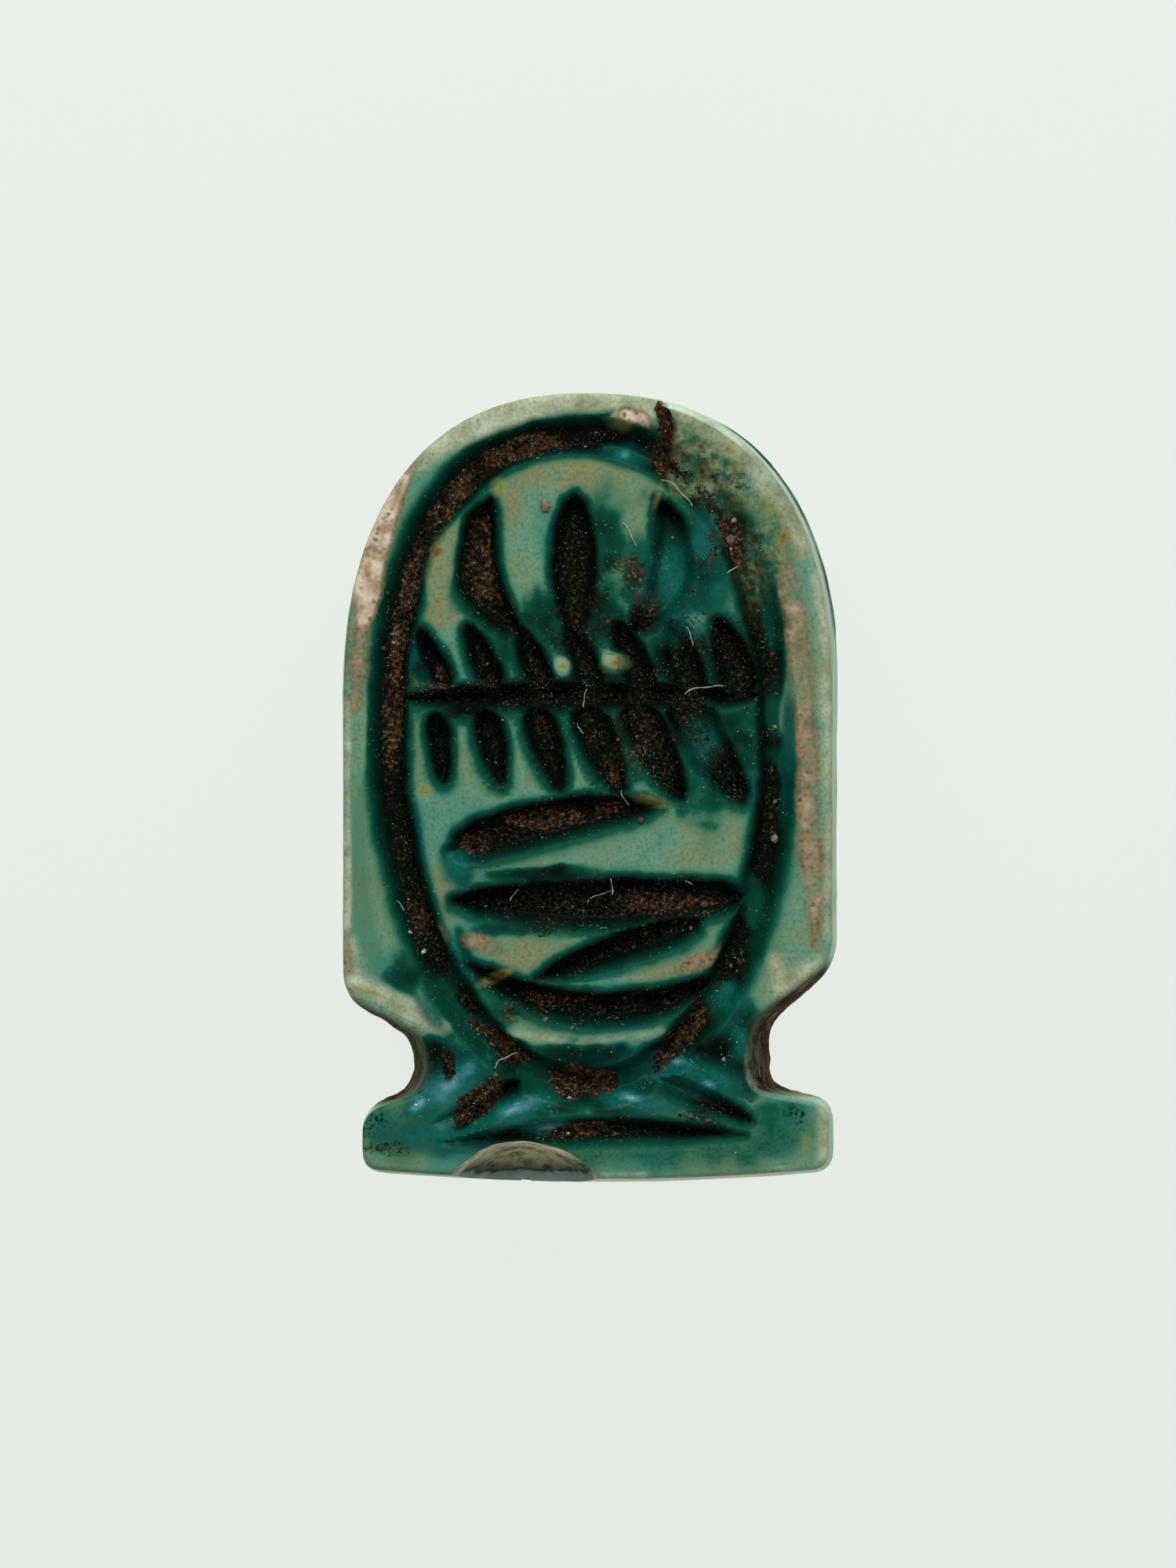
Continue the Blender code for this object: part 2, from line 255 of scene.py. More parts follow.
def loop_at(inset, pinch):
    """The outline at one level, at the places that every level shares."""
    points = outline(inset, pinch)
    first = EDGE_PLACES.astype(int) % len(points)
    share = (EDGE_PLACES - EDGE_PLACES.astype(int))[:, None]
    return points[first] * (1 - share) + points[(first + 1) % len(points)] * share


def coons(loop, across, up):
    """A grid whose border is the loop. Each point is the blend of the two side edges plus the blend of the
    foot and top edges, less the blend of the four corners, which both have counted."""
    foot = loop[: across + 1]
    right = loop[across : across + up + 1]
    top = loop[across + up : 2 * across + up + 1][::-1]
    left = np.vstack([loop[2 * across + up :], loop[:1]])[::-1]
    u = np.linspace(0, 1, across + 1)[None, :, None]
    v = np.linspace(0, 1, up + 1)[:, None, None]
    sides = (1 - u) * left[:, None] + u * right[:, None]
    ends = (1 - v) * foot[None] + v * top[None]
    corner = (1 - v) * ((1 - u) * foot[0] + u * foot[-1]) + v * ((1 - u) * top[0] + u * top[-1])
    return sides + ends - corner


grid = coons(loop_at(FACE_INSET, NECK_PINCH), ACROSS, UP)
step_across, step_up = np.diff(grid, axis=1)[:-1], np.diff(grid, axis=0)[:, :-1]
cell_area = step_across[..., 0] * step_up[..., 1] - step_across[..., 1] * step_up[..., 0]
print(f"face grid {grid.shape[1]} x {grid.shape[0]}, smallest cell {cell_area.min():.5f} mm2, "
      f"mean {cell_area.mean():.5f} mm2")

# %% [markdown]
# A graver leaves a groove that swells and tapers. Each stroke is a chain of short segments with a width at
# each joint. For every point of the face, the distance to the nearest segment, less the groove's half-width
# there, tells how far the point lies outside the groove's rim, and less than zero is inside. Everything that
# follows, from depth to colour, reads that one number.

# %% Strokes of the graver
STROKE_SEGMENTS, RING_SEGMENTS = 12, 128
STROKE_END, STROKE_SWELL = 0.12, 0.6


def swell(t, fattest):
    """How full a stroke is from its start to its end: END + (1 - END) sin(90 degrees * share)^SWELL, where
    share rises from 0 at the start to 1 at the fattest place, and falls to 0 again at the end."""
    share = np.where(t < fattest, t / fattest, (1 - t) / (1 - fattest))
    return STROKE_END + (1 - STROKE_END) * np.sin(share * math.pi / 2) ** STROKE_SWELL


def chain(start, end, bow, width, fattest):
    """A stroke as (x, y, half-width) rows, which bows aside by 4 bow t (1 - t), so by bow at its middle."""
    start, end = np.array(start), np.array(end)
    along = (end - start) / np.linalg.norm(end - start)
    aside = np.array((-along[1], along[0]))
    t = np.linspace(0, 1, STROKE_SEGMENTS + 1)[:, None]
    centre = start + (end - start) * t + aside * bow * 4 * t * (1 - t)
    return np.hstack([centre, width / 2 * swell(t, fattest)])


FIELD_HEIGHT = LENGTH - RING_TOP_INSET - RING_FOOT_HEIGHT


def field_point(across, up):
    """A place in the ring's field: across from -1 to 1, and up from 0 at its foot to 1 at its top."""
    x = across * (WIDTH / 2 - RING_INSET) - RING_LEAN
    return np.array((x, from_foot(RING_FOOT_HEIGHT) + up * FIELD_HEIGHT))


def row_of_strokes(count, spots, up, length, width, tilt, bow, fattest):
    """Short strokes whose places and sizes change evenly from the first to the last of the row."""
    row = []
    for share in np.linspace(0, 1, count):
        across, size, wide, lean, bend = (a + (b - a) * share for a, b in (spots, length, width, tilt, bow))
        lean = math.radians(lean)
        half = np.array((math.sin(lean), math.cos(lean))) * size * FIELD_HEIGHT / 2
        centre = field_point(across, up)
        row.append(chain(centre - half, centre + half, bend * FIELD_HEIGHT, wide * FIELD_HEIGHT, fattest))
    return row


def field_stroke(start, end, bow, width, fattest):
    """One stroke whose ends are places in the field. Bow and width are shares of the field's height."""
    return chain(field_point(*start), field_point(*end), bow * FIELD_HEIGHT, width * FIELD_HEIGHT, fattest)


def ring_chain():
    """The ring's centreline: a superellipse above its middle and an ellipse below, closed on itself."""
    angle = np.linspace(0, 2 * math.pi, RING_SEGMENTS + 1)
    middle = from_foot(RING_MIDDLE)
    upper = np.sin(angle) >= 0
    reach = np.where(upper, LENGTH / 2 - RING_TOP_INSET - middle, middle - from_foot(RING_FOOT_HEIGHT))
    power = np.where(upper, 2 / RING_SQUARENESS, 1.0)
    x = np.sign(np.cos(angle)) * np.abs(np.cos(angle)) ** power * (WIDTH / 2 - RING_INSET)
    y = np.sign(np.sin(angle)) * np.abs(np.sin(angle)) ** power * reach
    half = np.full_like(x, RING_WIDTH / 2)
    return np.stack([x - RING_LEAN * (1 + np.sin(angle)), middle + y, half], axis=1)


strokes = (
    row_of_strokes(3, (-0.4, 0.32), 0.8, (0.21, 0.21), (0.07, 0.07), (-12, 12), (0.044, -0.044), LENS)
    + row_of_strokes(7, (-0.78, 0.77), 0.66, (0.1, 0.12), (0.036, 0.062), (-26, -18), (0, 0), WEDGE)
    + row_of_strokes(6, (-0.74, 0.66), 0.52, (-0.1, -0.19), (0.036, 0.074), (-8, -32), (0, 0), WEDGE)
    + [
        field_stroke((-0.95, 0.597), (0.96, 0.6), 0.0, 0.048, LENS),
        field_stroke((-0.68, 0.362), (0.4, 0.432), 0.012, 0.066, WEDGE),
        field_stroke((-0.66, 0.285), (0.94, 0.297), -0.01, 0.074, LENS),
        field_stroke((0.62, 0.257), (-0.24, 0.165), 0.0, 0.048, WEDGE),
        field_stroke((-0.6, 0.188), (0.78, 0.178), -0.065, 0.05, LENS),
    ]
)
tie = [
    field_stroke((-0.28, 0.018), (-0.66, -0.075), 0.0, TIE_WIDTH / FIELD_HEIGHT, LENS),
    field_stroke((0.34, 0.018), (0.88, -0.055), 0.0, TIE_WIDTH / FIELD_HEIGHT, LENS),
    field_stroke((-0.2, 0.002), (0.24, 0.002), 0.0, TIE_WIDTH / FIELD_HEIGHT, LENS),
    field_stroke((-0.72, -0.088), (0.84, -0.076), 0.012, TIE_WIDTH / FIELD_HEIGHT, LENS),
]
slips = [
    chain(place(694, 560), place(796, 528), -0.05, 0.3, WEDGE),
    chain(place(752, 566), place(842, 588), 0.08, 0.2, LENS),
    chain(place(590, 1188), place(606, 1248), 0.0, 0.16, LENS),
    chain(place(566, 1186), place(574, 1262), 0.03, 0.12, LENS),
    chain(place(972, 1132), place(936, 1236), -0.05, 0.22, LENS),
    chain(place(640, 1372), place(560, 1432), 0.1, 0.3, LENS),
    chain(place(842, 1376), place(930, 1424), 0.08, 0.26, LENS),
]
print(f"{len(strokes)} strokes in the field, {len(tie)} in the tie and {len(slips)} slips of the graver")

# %% How far each point lies from the grooves
def nearest_cut(points, chains):
    """For (n, 2) points: the distance from the nearest groove's rim, less than 0 inside a groove, and how far
    the point lies above that groove's centreline, towards the dome."""
    nearest, above = np.full(len(points), np.inf), np.zeros(len(points))
    for rows in chains:
        for (ax, ay, aw), (bx, by, bw) in zip(rows[:-1], rows[1:]):
            run = np.array((bx - ax, by - ay))
            away = points - (ax, ay)
            t = np.clip(away @ run / (run @ run), 0, 1)
            off = away - t[:, None] * run
            gap = np.linalg.norm(off, axis=1) - (aw + t * (bw - aw))
            above = np.where(gap < nearest, off[:, 1], above)
            nearest = np.minimum(nearest, gap)
    return nearest, above


flat = grid.reshape(-1, 2)
flat3 = np.column_stack([flat, np.zeros(len(flat))])
ring = ring_chain()
RIM_BENDS, RIM_NICKS = 0.05, 0.032
wobble = RIM_BENDS * uneven(flat3, 0.8, 11) + RIM_NICKS * uneven(flat3, 0.2, 12, 2)
stroke_gap, stroke_above = nearest_cut(flat, strokes)
tie_gap, tie_above = nearest_cut(flat, tie)
slip_gap, slip_above = nearest_cut(flat, slips)
stroke_gap, tie_gap, slip_gap = stroke_gap + wobble, tie_gap + wobble, slip_gap + wobble
print(f"{(np.minimum(stroke_gap, tie_gap) < 0).mean():.0%} of the face lies inside a stroke")

# %% [markdown]
# The ring was cut with its inner wall steep and its outer wall sloping, so the light falls on the outer
# slope. To tell the two apart, each point gets a signed distance from the ring's centreline.

# %% Inside or outside the ring
def ring_side(points):
    """How far each point lies outside the ring's centreline in mm, less than 0 inside it. The sign comes from
    the ring's own equation, (x/a)^n + (y/b)^n = 1, and the size from the nearest of its segments."""
    middle = from_foot(RING_MIDDLE)
    x, y = points.T
    upper = y >= middle
    reach = np.where(upper, LENGTH / 2 - RING_TOP_INSET - middle, middle - from_foot(RING_FOOT_HEIGHT))
    power = np.where(upper, RING_SQUARENESS, 2.0)
    rise = np.clip(np.abs(y - middle) / reach, 0, 1) ** (power / 2)
    lean = RING_LEAN * (1 + np.where(upper, rise, -rise))
    sideways = np.abs(x + lean) / (WIDTH / 2 - RING_INSET)
    outside = sideways**power + (np.abs(y - middle) / reach) ** power > 1
    distance = nearest_cut(points, [ring])[0] + RING_WIDTH / 2
    return np.where(outside, distance, -distance)


lateral = ring_side(flat) + wobble
print(f"the ring's field is {(lateral < 0).mean():.0%} of the face")

# %% [markdown]
# Soil, stains, worn patches and pools of thick glaze lie where chance put them. Each is written once, as an
# ellipse at its place in the picture, and its border is roughened by noise.

# %% Patches that chance left
PATCH_GRAIN, BAND_GRAIN, BAND_RAGGED = 0.45, 0.35, 0.06


def patches(points, spots, ragged=0.3, seed=21, soft=0.5):
    """How fully each point lies in one of the (column, row, wide, tall, turn) patches, from 0 to 1. Wide and
    tall are half-sizes in points of the picture, and the turn is in degrees. The value falls off round 1 in
    the ellipse's own measure, sqrt((x/wide)^2 + (y/tall)^2), over the length soft."""
    rough = ragged * uneven(np.column_stack([points, np.zeros(len(points))]), PATCH_GRAIN, seed)
    full = np.zeros(len(points))
    for column, row, wide, tall, turn in spots:
        away = (points - place(column, row)) / POINT
        c, s = math.cos(math.radians(turn)), math.sin(math.radians(turn))
        measure = np.hypot((away @ (c, s)) / wide, (away @ (-s, c)) / tall)
        full = np.maximum(full, smooth((1 + soft / 2 + rough - measure) / soft))
    return full


def band(points, rows, soft, seed=22):
    """How fully each point lies in a band along (column, row, half-width in mm) places, from 0 to 1. It is
    measured as a groove is, and falls off round the band's border over the length soft."""
    rows = [(*place(column, row), half) for column, row, half in rows]
    rough = BAND_RAGGED * uneven(np.column_stack([points, np.zeros(len(points))]), BAND_GRAIN, seed)
    return smooth((soft / 2 + rough - nearest_cut(points, [rows])[0]) / soft)


print("patches and bands can be laid")

# %% [markdown]
# Fingers and sand wear a tablet first where it stands out: on the rim, most of all at the left shoulder of
# the dome and down the right side, and on a few high islands of the face. There the bare stone shows.

# %% Where the glaze is worn through
worn_left = [
    [(546, 583, 0.08), (522, 604, 0.18), (502, 636, 0.26), (487, 690, 0.28), (475, 760, 0.26),
     (469, 800, 0.16)],
    [(802, 536, 0.14), (820, 545, 0.2), (829, 562, 0.14)],
]
worn_right = [
    [(470, 790, 0.18), (463, 850, 0.2), (457, 905, 0.12)],
    [(1000, 716, 0.16), (1015, 790, 0.28), (1023, 880, 0.26), (1032, 980, 0.22), (1036, 1090, 0.24),
     (1040, 1160, 0.2), (1040, 1205, 0.1)],
    [(450, 1190, 0.05), (453, 1240, 0.08)],
]
worn_islands = [(626, 1206, 34, 13, -18), (556, 1194, 16, 20, 70), (890, 1228, 46, 14, 20)]
print(f"{len(worn_left) + len(worn_right)} worn stretches of the rim and {len(worn_islands)} islands")

# %% [markdown]
# Molten glaze runs off the high ground and gathers low. Pools of it are turquoise, and a few ridges carry a
# painted highlight in pale turquoise. In the darkest places it lies so thick that hardly any light comes
# back, and some of them are painted shadow on the steep upper walls of the cuts. Round the neck and on the
# foot it is thicker than on the dome. A few hollows stayed clear of soil.

# %% Where the glaze gathered
glaze_pools = [
    (802, 588, 26, 15, -15), (857, 735, 34, 50, 10), (866, 812, 26, 16, 0), (905, 690, 26, 60, -25),
    (903, 946, 24, 36, 0), (586, 1108, 18, 26, 0), (1008, 950, 9, 60, 0), (590, 1384, 66, 22, 42),
    (655, 1420, 90, 16, 19), (812, 1404, 56, 14, -8), (890, 1372, 84, 26, -8), (560, 1300, 30, 10, -50),
    (950, 1330, 16, 30, 20), (560, 1444, 60, 24, 10), (930, 1270, 20, 30, 30),
]
# Painted highlights: pale turquoise gloss on these ridges
painted_ridge_highlights = [
    (574, 1386, 42, 20, 42), (602, 1362, 20, 12, 52), (661, 1414, 44, 14, 20), (540, 1408, 20, 10, 30),
    (824, 765, 12, 16, 0), (798, 586, 12, 9, 0), (862, 1352, 34, 9, -14), (806, 1398, 24, 9, -10),
    (700, 1436, 30, 8, 4), (905, 1384, 20, 12, 0),
]
clear_places = [
    (988, 905, 16, 50, 0), (962, 1165, 18, 60, 14), (566, 1262, 22, 44, -32), (985, 800, 12, 40, 0),
    (1003, 1000, 9, 50, 0), (590, 1300, 40, 24, -42), (926, 1286, 18, 40, 34), (800, 588, 30, 16, -10),
    (903, 946, 22, 30, 0), (860, 740, 30, 50, 10), (686, 1366, 22, 18, -20), (806, 1368, 28, 22, 16),
]
thin_places = [(1010, 900, 12, 70, 0), (462, 930, 12, 60, 0), (572, 714, 26, 50, -14)]
# Some of these, such as those at rows 1117 and 1126, are painted shadow on the steep upper walls of the cuts
darkest_glaze_and_shadow = [
    (640, 880, 140, 18, 0), (745, 800, 80, 50, 0), (770, 868, 80, 40, 0), (890, 846, 96, 70, 0),
    (918, 955, 54, 96, -14), (812, 935, 56, 76, -25), (560, 862, 46, 26, 0), (700, 1290, 130, 8, 0),
    (600, 1085, 26, 22, 0), (625, 1385, 22, 40, -44), (760, 1382, 60, 24, 0), (640, 908, 150, 14, 0),
    (870, 1400, 40, 14, 20), (700, 1117, 110, 12, 2), (890, 1126, 60, 10, 4),
]
deep_patches = [
    (876, 750, 104, 110, 0), (700, 915, 230, 30, 0), (600, 1104, 26, 44, 0), (905, 640, 24, 60, -30),
    (630, 1290, 50, 44, -40), (930, 1300, 40, 60, 30), (740, 1350, 130, 20, 0), (530, 1230, 30, 60, -20),
    (640, 830, 60, 50, -20), (960, 1180, 30, 60, 20), (770, 700, 40, 90, 0), (560, 1330, 50, 20, 30),
    (700, 1180, 110, 14, 4), (820, 1180, 70, 30, -20),
]
green_rim = [
    [(470, 930, 0.2), (466, 1000, 0.26), (464, 1100, 0.28), (470, 1190, 0.3), (500, 1250, 0.26)],
    [(1006, 700, 0.14), (1040, 860, 0.08)],
]
neck_zone = [(770, 1376, 230, 50, 0), (560, 1360, 50, 46, 0), (940, 1350, 70, 60, 0)]
foot_zone = [(780, 1446, 330, 56, 0), (520, 1432, 70, 54, 0), (990, 1438, 70, 50, 0)]
print(f"{len(glaze_pools)} pools, {len(painted_ridge_highlights)} ridges and {len(darkest_glaze_and_shadow)} darkest places")

# %% [markdown]
# Soil packed itself into the cuts, into the cleft beside the flake and into the corners of the notches, and
# lies as a thin smear on level ground. Where it held damp it is brown, and it stained the glaze olive further
# out. Elsewhere the soil is painted nearly black, partly as painted shade in the depth of the cuts.

# %% Where soil lies and what it stained
soil_patches = [
    (742, 1376, 42, 20, -12), (612, 1408, 14, 38, -48), (645, 1332, 40, 14, -38), (868, 1325, 13, 36, -28),
    (742, 1440, 40, 8, 6), (578, 1362, 12, 18, 0), (980, 1345, 12, 30, 30), (848, 590, 14, 22, 0),
]
cleft = [(843, 506, 0.06), (847, 524, 0.12), (852, 545, 0.16), (853, 562, 0.13), (852, 582, 0.06)]
brown_places = [
    (500, 780, 40, 150, 0), (560, 620, 40, 60, 40), (660, 575, 80, 26, -12), (632, 720, 26, 60, 0),
    (822, 720, 24, 50, 0), (936, 700, 22, 60, -22), (590, 1085, 34, 20, 0), (700, 1045, 60, 14, -8),
    (890, 1160, 70, 16, -6), (520, 1195, 24, 44, -24), (742, 1376, 60, 40, 0), (645, 1335, 50, 40, 0),
    (612, 1410, 30, 40, 0), (742, 1440, 60, 16, 0), (868, 1325, 20, 50, -28), (700, 1272, 60, 14, 12),
    (852, 560, 20, 60, 0), (800, 990, 20, 50, -25), (980, 1345, 30, 60, 0), (560, 870, 50, 14, 0),
]
olive_places = [
    (580, 730, 50, 80, -30), (720, 604, 110, 26, 0), (640, 1240, 90, 30, 10), (860, 1240, 90, 24, -10),
    (553, 1150, 26, 60, 0), (1000, 1240, 40, 50, 0), (620, 640, 50, 40, 0), (870, 640, 40, 30, 0),
    (548, 800, 26, 24, 0), (560, 712, 24, 22, 0), (566, 772, 26, 18, 20), (1006, 720, 24, 60, -16),
]
soil_smears = [
    (875, 840, 80, 60, 0), (960, 850, 30, 60, 0), (700, 884, 230, 20, 0), (880, 884, 110, 26, 0),
    (905, 1425, 40, 12, -10), (500, 1462, 40, 10, 0), (990, 1410, 44, 16, -25), (480, 1425, 24, 20, 25),
    (745, 800, 100, 36, 0), (880, 965, 56, 70, -30), (620, 1080, 50, 20, 0), (920, 600, 50, 16, -40),
    (870, 1165, 70, 14, 12), (700, 1180, 80, 12, 0), (800, 950, 40, 60, -25), (700, 1290, 120, 12, 0),
    (800, 760, 40, 60, 0), (560, 870, 50, 20, 0), (900, 720, 20, 60, -20),
]
flake_stain = [(930, 590, 70, 60, -45), (985, 690, 30, 70, -20), (880, 545, 40, 30, -20)]
print(f"{len(soil_patches)} patches and {len(soil_smears)} smears of soil, {len(brown_places)} brown places")

# %% [markdown]
# On the arris the glaze ran thin and left a pale line, broader round the dome's left side. Along the right
# side and round the foot that line is partly painted light, where the edge catches the lit table below, and
# the thin pale lines at the very edge are painted light. Iron stained the glaze in amber specks and streaks,
# most of them 0.2 to 0.7 mm long.

# %% Where the glaze is pale, where the edge is painted light, and its amber specks
pale_spots = [(790, 846, 24, 14, 8), (722, 852, 14, 13, 0)]
pale_rim = [
    [(530, 598, 0.16), (572, 566, 0.28), (636, 538, 0.3), (700, 520, 0.26), (760, 516, 0.22),
     (826, 530, 0.22)],
    # On the right side and the foot the pale line is partly painted light from the lit table below
    [(1040, 720, 0.05), (1052, 820, 0.07), (1057, 1000, 0.07), (1058, 1190, 0.08)],
    [(1051, 1412, 0.06), (1054, 1450, 0.1), (1050, 1484, 0.08)],
    [(1046, 1225, 0.08), (1000, 1262, 0.16), (990, 1225, 0.1)],
    [(452, 1200, 0.08), (455, 1250, 0.14), (520, 1285, 0.22), (570, 1312, 0.1)],
    [(640, 1316, 0.03), (740, 1330, 0.05), (850, 1316, 0.03)],
    [(852, 524, 0.14), (900, 548, 0.2), (956, 594, 0.2), (996, 646, 0.16), (1028, 710, 0.1)],
]
# Painted light: thin pale lines at the very edge, lit from the table below
painted_lit_edges = [
    [(451, 900, 0.02), (450, 1000, 0.04), (450, 1130, 0.04), (451, 1230, 0.04)],
    [(470, 1420, 0.02), (470, 1470, 0.04)],
    [(480, 1488, 0.04), (560, 1497, 0.05)], [(770, 1499, 0.05), (900, 1499, 0.05), (1040, 1488, 0.05)],
]
amber_spots = [
    (562, 706, 8, 12, 0), (564, 773, 11, 6, -25), (640, 628, 7, 9, 0), (788, 850, 13, 8, 10),
    (722, 855, 7, 7, 0), (548, 1012, 8, 6, 0), (1030, 1458, 7, 13, 0), (836, 1025, 18, 5, -15),
    (478, 1266, 22, 4, -15), (735, 600, 28, 6, 0), (640, 1245, 22, 4, 25), (455, 1015, 6, 6, 0),
    (670, 568, 8, 5, 20), (985, 652, 6, 14, -25), (930, 578, 9, 6, -40), (796, 545, 14, 9, 0),
    (1022, 895, 3, 16, 6), (842, 640, 4, 12, -15), (462, 838, 9, 4, 0), (1002, 690, 6, 14, -30),
]
print(f"{len(pale_rim) + len(painted_lit_edges)} pale stretches and {len(amber_spots)} amber specks")

# %% [markdown]
# The piece that broke off the dome left a low shelf with a steep left side. A Boolean would leave a hard rim
# all round, so it is a height like the rest: the drop at the step, times a slow rise to the right, times a
# fade at the lower end. A narrow trough beside the step makes its upper part a cleft.

# %% Depth of the flake
# The step's place in X at the top of the dome, and how far it leans right on the way down
STEP_PLACE, STEP_LEAN, STEP_TOP, STEP_TALL = 1.3, 0.12, 7.5, 1.5
STEP_WIDTH, STEP_JAG, STEP_GRAIN = 0.16, 0.07, 0.5
SHELF_RISE, SHELF_REACH = 0.92, FLAKE_SHELF * 0.8
FLAKE_END, FLAKE_FADE = LENGTH / 2 - FLAKE_DROP - FLAKE_LENGTH * 0.36, 0.5
TROUGH_PLACE, TROUGH_DEPTH, TROUGH_HALF, TROUGH_END = 1.52, 0.16, 0.2, 5.85


def flake_depth(points):
    """How far the flake lowered the face at (n, 2) points, in mm: (depth times shelf, and the trough) times
    the step and the lower end, each of them a smooth ramp from 0 to 1."""
    x, y = points.T
    jag = STEP_JAG * uneven(np.column_stack([y, y * 0, y * 0]), STEP_GRAIN, 31)
    step = smooth((x - (STEP_PLACE + STEP_LEAN * (STEP_TOP - y) / STEP_TALL) - jag) / STEP_WIDTH)
    shelf = 1 - SHELF_RISE * smooth((x - FLAKE_OFFSET) / SHELF_REACH)
    lower_end = smooth((y - FLAKE_END) / FLAKE_FADE)
    trough = TROUGH_DEPTH * smooth(1 - np.abs(x - TROUGH_PLACE) / TROUGH_HALF)
    trough = trough * smooth((y - TROUGH_END) / TROUGH_HALF)
    return (FLAKE_DEPTH * shelf + trough) * step * lower_end


flaked = flake_depth(flat)
print(f"the flake is {flaked.max():.2f} mm deep at most")

# %% [markdown]
# Now the face's height. Each kind of cut has its own slope, and where two meet the deeper one wins. Soil then
# fills the bottoms to a ragged level, and a slow unevenness remains from rubbing the stone flat by hand.

# %% Depth of the cuts
# A cut's ramp starts this far outside its rim and runs this far in, and below the centreline both are longer
RAMP_START, RAMP_LENGTH = 0.04, 0.26
START_BELOW, LENGTH_BELOW = 0.1, 0.16
BELOW_REACH = 0.25
# The ring's two walls: how far each starts from the centreline, and how long its ramp is
INNER_WALL, INNER_RAMP, OUTER_WALL, OUTER_RAMP = 0.38, 0.24, 0.46, 0.4
TIE_DEPTH, SLIP_DEPTH = 0.8, 0.4


def cut_share(gap, above):
    """How deep a stroke is, as a share of its full depth: a smooth ramp, steep above the centreline, where
    the graver's edge stood, and longer and a little further out below it."""
    below = smooth(-above / BELOW_REACH)
    return smooth((RAMP_START + START_BELOW * below - gap) / (RAMP_LENGTH + LENGTH_BELOW * below))


ring_cut = np.minimum(
    smooth((lateral + INNER_WALL) / INNER_RAMP), smooth((OUTER_WALL - lateral) / OUTER_RAMP)
)
stroke_cut, tie_cut = cut_share(stroke_gap, stroke_above), cut_share(tie_gap, tie_above)
slip_cut = SLIP_DEPTH * cut_share(slip_gap, slip_above)
carved = np.max([ring_cut, stroke_cut, TIE_DEPTH * tie_cut, slip_cut], axis=0)
depth = GROOVE_DEPTH * carved + flaked * (1 - 0.5 * carved)
print(f"the cuts are {depth.max():.2f} mm deep at most and take {(carved > 0.5).mean():.0%} of the face")

# %% Where the soil lies
# How far a bottom full of soil reaches, and how far inside the ring's centreline its bottom runs
BOTTOM_REACH, RING_BOTTOM = 0.34, 0.05
SMEAR_STRENGTH = 0.54
fine = uneven(flat3, 0.09, 41, 2)
coarse = uneven(flat3, 1.3, 42)
ring_bottom = smooth((BOTTOM_REACH - np.abs(lateral + RING_BOTTOM)) / BOTTOM_REACH)
stroke_bottom = smooth((0.02 - 0.1 * smooth(-stroke_above / 0.2) - stroke_gap) / BOTTOM_REACH)
bottoms = np.maximum(ring_bottom, np.maximum(stroke_bottom, 0.5 * smooth((-0.05 - tie_gap) / 0.2)))
brown, clear = patches(flat, brown_places, 0.5, 58, 1.0), patches(flat, clear_places, 0.9, 62, 1.3)
islands = patches(flat, pale_spots, 0.35, 63, 0.9)
soil = np.clip(bottoms * (0.66 + 0.6 * coarse + 0.4 * brown) + 0.3 * fine * bottoms, 0, 1)
soil *= (1 - 0.9 * clear) * (1 - islands)
soil = np.maximum(soil, patches(flat, soil_patches, 0.7, 43, 0.7))
soil = np.maximum(soil, band(flat, cleft, 0.08, 48))
smeared = patches(flat, soil_smears, 0.6, 46, 0.9) * smooth(0.55 + 0.9 * uneven(flat3, 0.3, 47, 3))
soil = np.maximum(soil, SMEAR_STRENGTH * smeared)
print(f"soil covers {(soil > 0.5).mean():.0%} of the face")

# %% Height of the face
# The neck was rubbed hollow, as a bell curve of Y
NECK_HOLLOW, HOLLOW_Y, HOLLOW_REACH = 0.09, -5.45, 0.55
SOIL_FILL, SOIL_CRUMBS = 0.06, 0.03
RUB_WAVES, RUB_SCRATCHES, FACE_DROP = 0.012, 0.0035, 0.02
hollow = NECK_HOLLOW * np.exp(-(((flat[:, 1] - HOLLOW_Y) / HOLLOW_REACH) ** 2))
height = -depth - hollow + SOIL_FILL * soil * carved + SOIL_CRUMBS * soil * uneven(flat3, 0.12, 44, 3)
height += RUB_WAVES * coarse + RUB_SCRATCHES * uneven(flat3, 0.3, 45, 2) - FACE_DROP
print(f"the face lies {-height.max():.3f} to {-height.min():.3f} mm below the top")

# %% [markdown]
# The finish has to know what each point is. The shares from 0 to 1 that say so are worked out once here, and
# travel with the mesh as named attributes, which the material reads. A painted image could hold them too, but
# an attribute needs no unwrapping and follows any change of the carving by itself.

# %% What the finish needs to know about each point
# Where the ramp of the glaze starts outside a stroke's rim, and its length, and how much more below
GLAZE_START, GLAZE_LENGTH = 0.3, 0.44
GLAZE_START_BELOW, GLAZE_LENGTH_BELOW = 0.2, 0.4
RING_GLAZE_IN, RING_GLAZE_IN_RAMP, RING_GLAZE_OUT, RING_GLAZE_OUT_RAMP = 0.66, 0.56, 0.8, 0.86
# Rows of strength, places, raggedness, seed and softness
GLAZE_ZONES = [
    (0.78, darkest_glaze_and_shadow, 0.5, 60, 1.2), (0.62, deep_patches, 0.5, 55, 1.4), (0.82, neck_zone, 0.3, 57, 0.8),
]


def glaze_share(gap, above):
    """How thick the glaze lies beside a stroke: a straight ramp of the gap, steep above the stroke and wide
    below it. It isn't smoothed, because a straight ramp keeps its edge crisp between the mesh's points."""
    below = smooth(-above / BELOW_REACH)
    return (GLAZE_START + GLAZE_START_BELOW * below - gap) / (GLAZE_LENGTH + GLAZE_LENGTH_BELOW * below)


